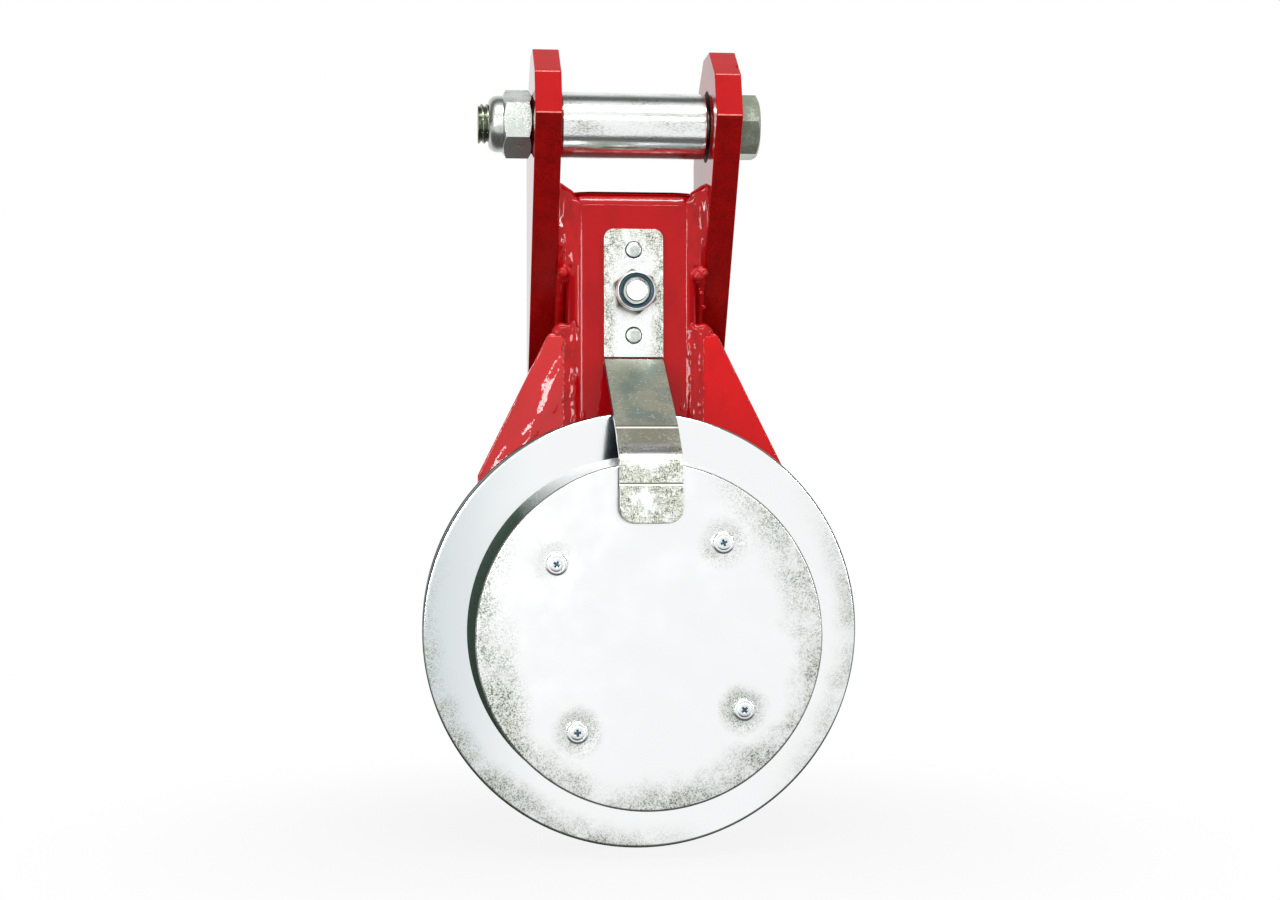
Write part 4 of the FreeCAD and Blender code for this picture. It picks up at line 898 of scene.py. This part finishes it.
def hanger_hardware():
    """Cross bolt through both ears, its locknut on the left, and the sleeve that turns on it."""
    shank = settle(turned([(HANGER_BOLT_R, -EAR_OUT - 6), (HANGER_BOLT_R, EAR_OUT + 0.5)]), "x")
    nut_height, collar_height, spare = 14.0, 6.6, 5.2
    tip_x = EAR_OUT + nut_height + collar_height + spare
    tip = settle(thread(HANGER_BOLT_R, 2.54, EAR_OUT + 5, tip_x, 1.5), "-x")
    head = settle(hex_body(HANGER_FLATS, 12.0, False, 58), "x", (EAR_OUT, 0, 0))
    fit_out(joined([shank, tip, head]), "cross_bolt", "zinc_fastener", ZINC_BOLT, "hanger_bolt")

    collar = [(10.8, 13.2), (13.5, 13.2), (13.5, 16.8), (13.2, 18.2), (12.5, 19.4), (11.6, 20.2), (10.9,
        20.6), (10.4, 20.3), (10.3, 19.6), (10.8, 18.6)]
    nut = locknut("-x", (-EAR_OUT, 0, 0), HANGER_FLATS, nut_height, 30, HANGER_BOLT_R + 0.05, collar)
    fit_out(nut, "cross_bolt_nut", "zinc_fastener", ZINC_NUT, "hanger_nut")
    # Painted shade on the nut's face towards the ear, in the gap beside it
    refinish(nut, GAP_SHADE, lambda at, way: way.x > 0.3 and at.x > -51.5)

    half, corners = SLEEVE_HALF_W, ((15.0, 0.0), (15.6, 0.3), (SLEEVE_R, 1.0))
    outside = [(r, drop - half) for r, drop in corners] + [(r, half - drop) for r, drop in reversed(corners)]
    sleeve = settle(turned([(SLEEVE_BORE_R, -half), *outside, (SLEEVE_BORE_R, half)], 160, True), "x")
    fit_out(sleeve, "spacer_sleeve", "zinc_plate", ZINC_SLEEVE, "hanger_sleeve", body="hanger_roller")


# Keeper strap


def strip(line, name, body, corner_r, round_end, replaced, holes=()):
    """Bend a flat strip along a (y, z) line by extruding its end, round one end and thicken it."""
    deselect()
    bpy.ops.mesh.primitive_plane_add(size=1)
    piece = bpy.context.object
    for vert in piece.data.vertices:
        y, z = line[0] if vert.co.y > 0 else line[1]
        vert.co = Vector((copysign(STRAP_HALF_W, vert.co.x), y, z)) * MM
    edit(piece, "EDGE")
    select_edges(piece, lambda at, way: abs(at.z - line[1][1]) < 0.01 and abs(way.x) > 0.9)
    for (ya, za), (yb, zb) in zip(line[1:], line[2:]):
        pull_edges(yb - ya, zb - za)
    for vert in unselected(piece).verts:
        vert.select = abs(vert.co.z / MM - line[round_end][1]) < 0.01
    bmesh.update_edit_mesh(piece.data)
    bpy.ops.mesh.select_mode(type="VERT")
    bpy.ops.mesh.bevel(offset=corner_r * MM, segments=7, affect="VERTICES")
    done()
    merged(piece)
    if sum(face.normal.y for face in piece.data.polygons) > 0:
        edit_all(piece)
        bpy.ops.mesh.flip_normals()
        done()
    modify(piece, "SOLIDIFY", thickness=STRAP_THICK * MM, offset=0.0, use_even_offset=True)
    for radius, z in holes:
        carve(piece, rod(radius, (0, -12, z), (0, 2, z), 48))
    soften(piece, 0.35, 2, 35)
    fit_out(piece, name, "zinc_plate", ZINC_STRAP, replaced, body=body, angle=BENT)
    refinish(piece, ZINC_BLUE, lambda at, way: (way.y > 0.3 or way.x < -0.8) and at.y < -6.5)


def keeper_strap():
    """The strap's flat part on the tube and its sprung part over the flange and the cover."""
    pin_holes = [(PIN_R + 0.15, STRAP_BOLT_Z - PIN_STEP), (PIN_R + 0.15, STRAP_BOLT_Z + PIN_STEP)]
    strip([(BEND_Y, -50.5), (BEND_Y, -80.0), (BEND_Y, -112.3)], "strap_base", "frame", 4.5, 0, "keeper_base",
        [(STRAP_BOLT_R + 0.25, STRAP_BOLT_Z), *pin_holes])

    lip_y = COVER_FRONT - 3.0 - STRAP_THICK / 2
    crease, knee = (BEND_Y - 58.0, BEND_Z - 33.0), (lip_y + 1.0, BEND_Z - 47.0)
    lip, tip = (lip_y, BEND_Z - 57.5), (lip_y - 2.5, BEND_Z - 76.0)
    into = (Vector(crease) - Vector(knee)).normalized()
    out = (Vector(lip) - Vector(knee)).normalized()
    bend, steps = 4.0, 6
    leaf = [(BEND_Y, BEND_Z), (BEND_Y - 1.0, BEND_Z - 0.65), crease]
    for t in [k / steps for k in range(steps + 1)]:
        a, b = Vector(knee) + into * bend * (1 - t), Vector(knee) + out * bend * t
        leaf.append(tuple(a.lerp(b, t)))
    strip([*leaf, lip, tip], "strap_leaf", "keeper", 7.0, -1, "keeper_leaf")


def strap_hardware():
    """Half-inch bolt from behind the tube, its locknut in front of the strap, and the two locating pins."""
    at = (0, TUBE_FRONT - STRAP_THICK, STRAP_BOLT_Z)
    bore_r, nut_height, collar_height, spare = 6.45, 9.0, 4.6, 1.5
    collar = [(8.6, 8.3), (9.6, 8.3), (9.6, 11.2), (9.5, 12.4), (9.3, 13.1), (9.0, 13.5), (8.75, 13.6), (8.5,
        13.4), (8.4, 12.6), (8.6, 11.8)]
    nut = locknut("-y", at, STRAP_FLATS, nut_height, 9, bore_r, collar)
    fit_out(nut, "strap_nut", "zinc_fastener", ZINC_NUT, "keeper_nut")
    refinish(nut, ZINC_SHOULDER, lambda at, way: at.y > -16.0)
    refinish(nut, ZINC_RIM, lambda at, way: at.y < -17.2 and way.y < 0.2)

    ring = settle(turned([(bore_r, 9.2), (8.55, 9.2), (8.55, 12.0), (8.2, 12.4), (7.5, 12.6), (6.9, 12.4),
        (bore_r, 11.8)], 96, True), "-y", at)
    fit_out(ring, "strap_nut_nylon_ring", "blue_nylon", NYLON, "keeper_nut_insert")

    tip = settle(thread(STRAP_BOLT_R, 1.95, 2.0, nut_height + collar_height + spare, 1.3, 1.1), "-y", at)
    shank = settle(turned([(STRAP_BOLT_R, -56.8 + 6), (STRAP_BOLT_R, 4.0)], 64), "-y", at)
    head = settle(hex_body(STRAP_FLATS, 8.0, False, 30), "y", (0, TUBE_BACK, STRAP_BOLT_Z))
    bolt = joined([tip, shank, head])
    fit_out(bolt, "strap_bolt", "zinc_fastener", ZINC_NUT, "keeper_bolt")
    refinish(bolt, ZINC_RIM, lambda at, way: way.y < -0.9 and at.y < -20.7)

    profile = [(PIN_R, -9.0), (PIN_R, 0.2), (3.65, 0.55), (3.1, 0.8), (1.6, 0.8)]
    pins = joined([settle(turned(profile, 48), "-y", (0, at[1], STRAP_BOLT_Z + step)) for step in (-PIN_STEP,
        PIN_STEP)])
    fit_out(pins, "strap_pins", "zinc_fastener", ZINC_NUT, "locating_pins")
    refinish(pins, ZINC_BLUE, lambda at, way: way.y > -0.9)


# Sheave


def flange_disc():
    """Turned disc along Z with a rounded rim; height 0 is its outer face.
    The rings keep the screw holes' cuts out of the broad outer band, which is seen."""
    rings = (38.05, 53.0, 71.0, 99.2)
    corner = FLANGE_ROUND
    rim = [(FLANGE_R - corner + corner * sin(a), corner - corner * cos(a))
        for a in map(radians, (0, 22, 45, 68, 90))]
    return turned([(r, 0.0) for r in rings] + rim + [(r, FLANGE_THICK - h) for r, h in reversed(rim)] + [(r,
        FLANGE_THICK) for r in reversed(rings)], 256, True)


def flanges():
    front = settle(flange_disc(), "y", (0, FLANGE_FRONT, AXLE_Z))
    fit_out(front, "front_flange_disc", "zinc_plate", ZINC_FLANGE, "front_flange", body="sheave")
    rear = settle(flange_disc(), "-y", (0, REAR_FLANGE_Y, AXLE_Z))
    for x, z in four_places(62.0):
        sink = turned([(4.1, -6.0), (4.1, 0.1), (7.6, 3.6), (7.6, 5.0)], 48)
        carve(rear, settle(sink, "y", (x, REAR_FLANGE_Y - 3.6, z)))
    fit_out(rear, "rear_flange_disc", "zinc_plate", ZINC_FLANGE, "rear_flange", body="sheave")


def cover():
    """Drawn cup with a rounded front corner, dished a little where each screw pulls it in."""
    height = FLANGE_FRONT - COVER_FRONT
    under, corner = height - COVER_WALL, COVER_ROUND
    profile = [(COVER_BASE_R, 0.0), (COVER_BASE_R - 1.35, height * 0.45), (COVER_FRONT_R + 0.2,
        height - corner)]
    profile += [(COVER_FRONT_R - corner + corner * cos(a), height - corner + corner * sin(a))
        for a in map(radians, (15, 35, 55, 75, 90))]
    profile += [(r, height) for r in (70.0, 60.0, 40.0, 20.0, 2.0)]
    profile += [(2.0, under), (20.0, under), (60.0, under), (COVER_FRONT_R - 3.2, under),
        (COVER_FRONT_R - COVER_WALL, height - 3.2), (COVER_BASE_R - COVER_WALL, 0.0)]
    cup = settle(turned(profile, 224, True), "-y", (0, FLANGE_FRONT, AXLE_Z))
    carve(cup, settle(turned([(2.3, -2.0), (2.3, 0.0)], 24), "-y", (0, COVER_FRONT, AXLE_Z)), "UNION")
    dish_depth, dish_r = 0.55, 95.0
    for x, z in COVER_SCREWS:
        dish = ball(dish_r, (x, COVER_FRONT + dish_depth - dish_r, z), segments=96, rings=48)
        slice_off(dish, (0, COVER_FRONT - 4, 0), (0, -1, 0))
        carve(cup, dish)
    fit_out(cup, "bearing_cover_cup", "zinc_plate", ZINC_COVER, "bearing_cover", body="sheave")
    # The wall's faces get the finish with painted shade and light
    refinish(cup, WALL, lambda at, way: abs(way.y) < 0.45 and at.y > COVER_FRONT + 0.8
        and hypot(at.x, at.z - AXLE_Z) > COVER_FRONT_R - 0.2)


def cross_recess(depth):
    """Cutter for a screw's cross slot, tapered to its bottom, pointing up along Z."""
    arms = []
    for turn in (0, 90):
        deselect()
        bpy.ops.mesh.primitive_cube_add(size=1)
        arm = placed((4.8 * MM, 1.3 * MM, depth * MM))
        edit(arm)
        select_faces(arm, lambda at, way: way.z < -0.9)
        bpy.ops.transform.resize(value=(0.35, 0.7, 1))
        done()
        arm.data.transform(Matrix.Rotation(radians(turn), 4, "Z"))
        arms.append(arm)
    return carve(arms[0], arms[1], "UNION")


def cover_screw(k):
    """Pan head with a tight rounded rim and a fine turned ring round its cross slot."""
    head_r, height, slot_depth = 5.1, 2.9, 1.9
    screw = turned([(2.45, -15.9), (2.45, 0.0), (head_r - 0.15, 0.0), (head_r, 0.2), (head_r, 1.4), (5.0,
        1.9), (4.7, 2.3), (4.25, 2.55), (3.6, 2.68), (3.35, 2.60), (3.1, 2.74), (2.2, 2.86), (0.6,
        height)], 56)
    slot = cross_recess(4.0)
    slot.data.transform(Matrix.Translation((0, 0, (height - slot_depth + 2.0) * MM)))
    carve(screw, slot)
    x, z = COVER_SCREWS[k]
    return settle(screw, "-y", (x, COVER_FRONT + 0.25, z), radians(20 + 37 * k))


def in_slot(at, way):
    """True for the sides and bottom of the cross slots in the cover's screws."""
    return -79.2 < at.y < -77.2 and any(hypot(at.x - x, at.z - z) < 2.9 for x, z in COVER_SCREWS)


def cover_screws():
    screws = joined([cover_screw(k) for k in range(4)])
    soften(screws, 0.12, 2, 40)
    fit_out(screws, "cover_pan_screws", "zinc_fastener", ZINC_SCREW, "cover_screws", body="sheave")
    refinish(screws, ZINC_RECESS, in_slot)


def dress_cad_nodes():
    """Finishes for the nodes that keep their own shape, nearly all of them hidden."""
    kept = {"hanger_nut_insert": NYLON, "hub_seal": SEAL, "sheave_wheel": ZINC_WHEEL, "axle": STEEL,
        "inner_spacer": STEEL, "outer_spacer": STEEL}
    for name in [*kept, "axle_washer", "axle_nut", "thrust_washer", "front_locknut", "cover_posts", *(end
        + part for end in ("front_", "rear_") for part in ("bearing_inner", "bearing_outer",
        "bearing_balls", "flange_screws"))]:
        materials = nodes[name].data.materials
        materials.clear()
        materials.append(kept.get(name, BEARING if "_bearing_" in name else ZINC_NUT))


# Studio


def floor_finish():
    """White floor that keeps the block's shadow and runs out to plain white."""
    mat = Finish("studio floor")
    mat.set(colour=(0.52, 0.52, 0.52), rough=0.6, specular=0.1)
    rays = mat.add("LightPath").outputs
    x, y, z = mat.axes()
    far = mat.spread(mat.length(x, y), 0.08, 0.32, 0.88, 1.0)
    seen = mat.mix(mat.times(rays["Is Camera Ray"], far), mat.shader.outputs[0],
        mat.add("Emission").outputs[0])
    graze = mat.add("LayerWeight").outputs["Facing"]
    near_front = mat.times(mat.spread(graze, 0.45, 0.7), mat.spread(y, -0.036, -0.046))
    level = mat.larger(mat.spread(y, -0.41, -0.30, FRONT_LEVEL, SIDE_LEVEL), mat.spread(y, 0.10, 0.45,
        SIDE_LEVEL, 1.0))
    level = mat.larger(level, mat.times(near_front, FRONT_LEVEL))
    mirrored = mat.add("Emission")
    mat.join(level, mirrored.inputs["Strength"])
    surface = mat.mix(mat.larger(rays["Is Glossy Ray"], rays["Is Transmission Ray"]), seen,
        mirrored.outputs[0])
    mat.join(surface, mat.out.inputs["Surface"])
    return mat.material


def room_world():
    """Plain white to the camera, bright in front and above to polished surfaces, low and even to the rest."""
    world = bpy.data.worlds.new("studio")
    bpy.context.scene.world = world
    world.use_nodes = True
    room = Nodes(world.node_tree)
    out = room.add("OutputWorld")
    rays = room.add("LightPath").outputs
    direction = room.add("TexCoord").outputs["Generated"]
    towards_front = room.add("VectorMath", operation="DOT_PRODUCT")
    room.join(direction, towards_front.inputs[0])
    rise = radians(22)
    towards_front.inputs[1].default_value = (0.0, -cos(rise), sin(rise))
    split = room.add("SeparateXYZ")
    room.join(direction, split.inputs[0])
    mirrored = room.larger(room.spread(towards_front.outputs["Value"], 0.34, 0.66, SIDE_LEVEL, FRONT_LEVEL),
        room.spread(split.outputs[1], 0.22, 0.68, SIDE_LEVEL, 1.0))
    shades = [room.fill(room.add("Background"), ((1, 1, 1), level)) for level in (ROOM_LIGHT, mirrored, 1.0)]
    polished = room.larger(rays["Is Glossy Ray"], rays["Is Transmission Ray"])
    surface = room.mix(rays["Is Camera Ray"], room.mix(polished, shades[0], shades[1]), shades[2])
    room.join(surface, out.inputs["Surface"])


def in_scene(name, data):
    thing = bpy.data.objects.new(name, data)
    bpy.context.scene.collection.objects.link(thing)
    return thing


def studio():
    deselect()
    bpy.ops.mesh.primitive_plane_add(size=40, location=(0, 0, FLOOR_Z * MM))
    floor = placed()
    floor.name = "studio_floor"
    floor.data.materials.append(floor_finish())
    room_world()

    for name, place, width, height, power in LAMPS:
        light = bpy.data.lights.new(name, "AREA")
        light.shape = "RECTANGLE"
        light.size, light.size_y = width, height
        light.energy = power
        lamp = in_scene(name, light)
        lamp.location = place
        lamp.rotation_euler = (LAMP_TARGET - Vector(place)).to_track_quat("-Z", "Y").to_euler()

    camera = bpy.data.cameras.new("camera")
    camera.lens = LENS_MM
    camera.sensor_width = SENSOR_MM
    viewer = in_scene("camera", camera)
    viewer.location = CAMERA_AT
    viewer.rotation_euler = CAMERA_TURN
    bpy.context.scene.camera = viewer
    bpy.context.scene.view_settings.view_transform = "Standard"


ear(-1)
ear(1)
square_tube()
cheek()
beads("ear_weld_beads", "ear_welds", 31, (EAR_FILL, EAR_FILLET), EAR_RUNS, EAR_DRIPS, 0.6, 10)
beads("cheek_weld_beads", "cheek_welds", 51, (CHEEK_BED,), CHEEK_RUNS, {-1: (), 1: ()}, 0.5, 6)
hanger_hardware()
keeper_strap()
strap_hardware()
flanges()
cover()
cover_screws()
dress_cad_nodes()
studio()

bpy.context.view_layer.update()
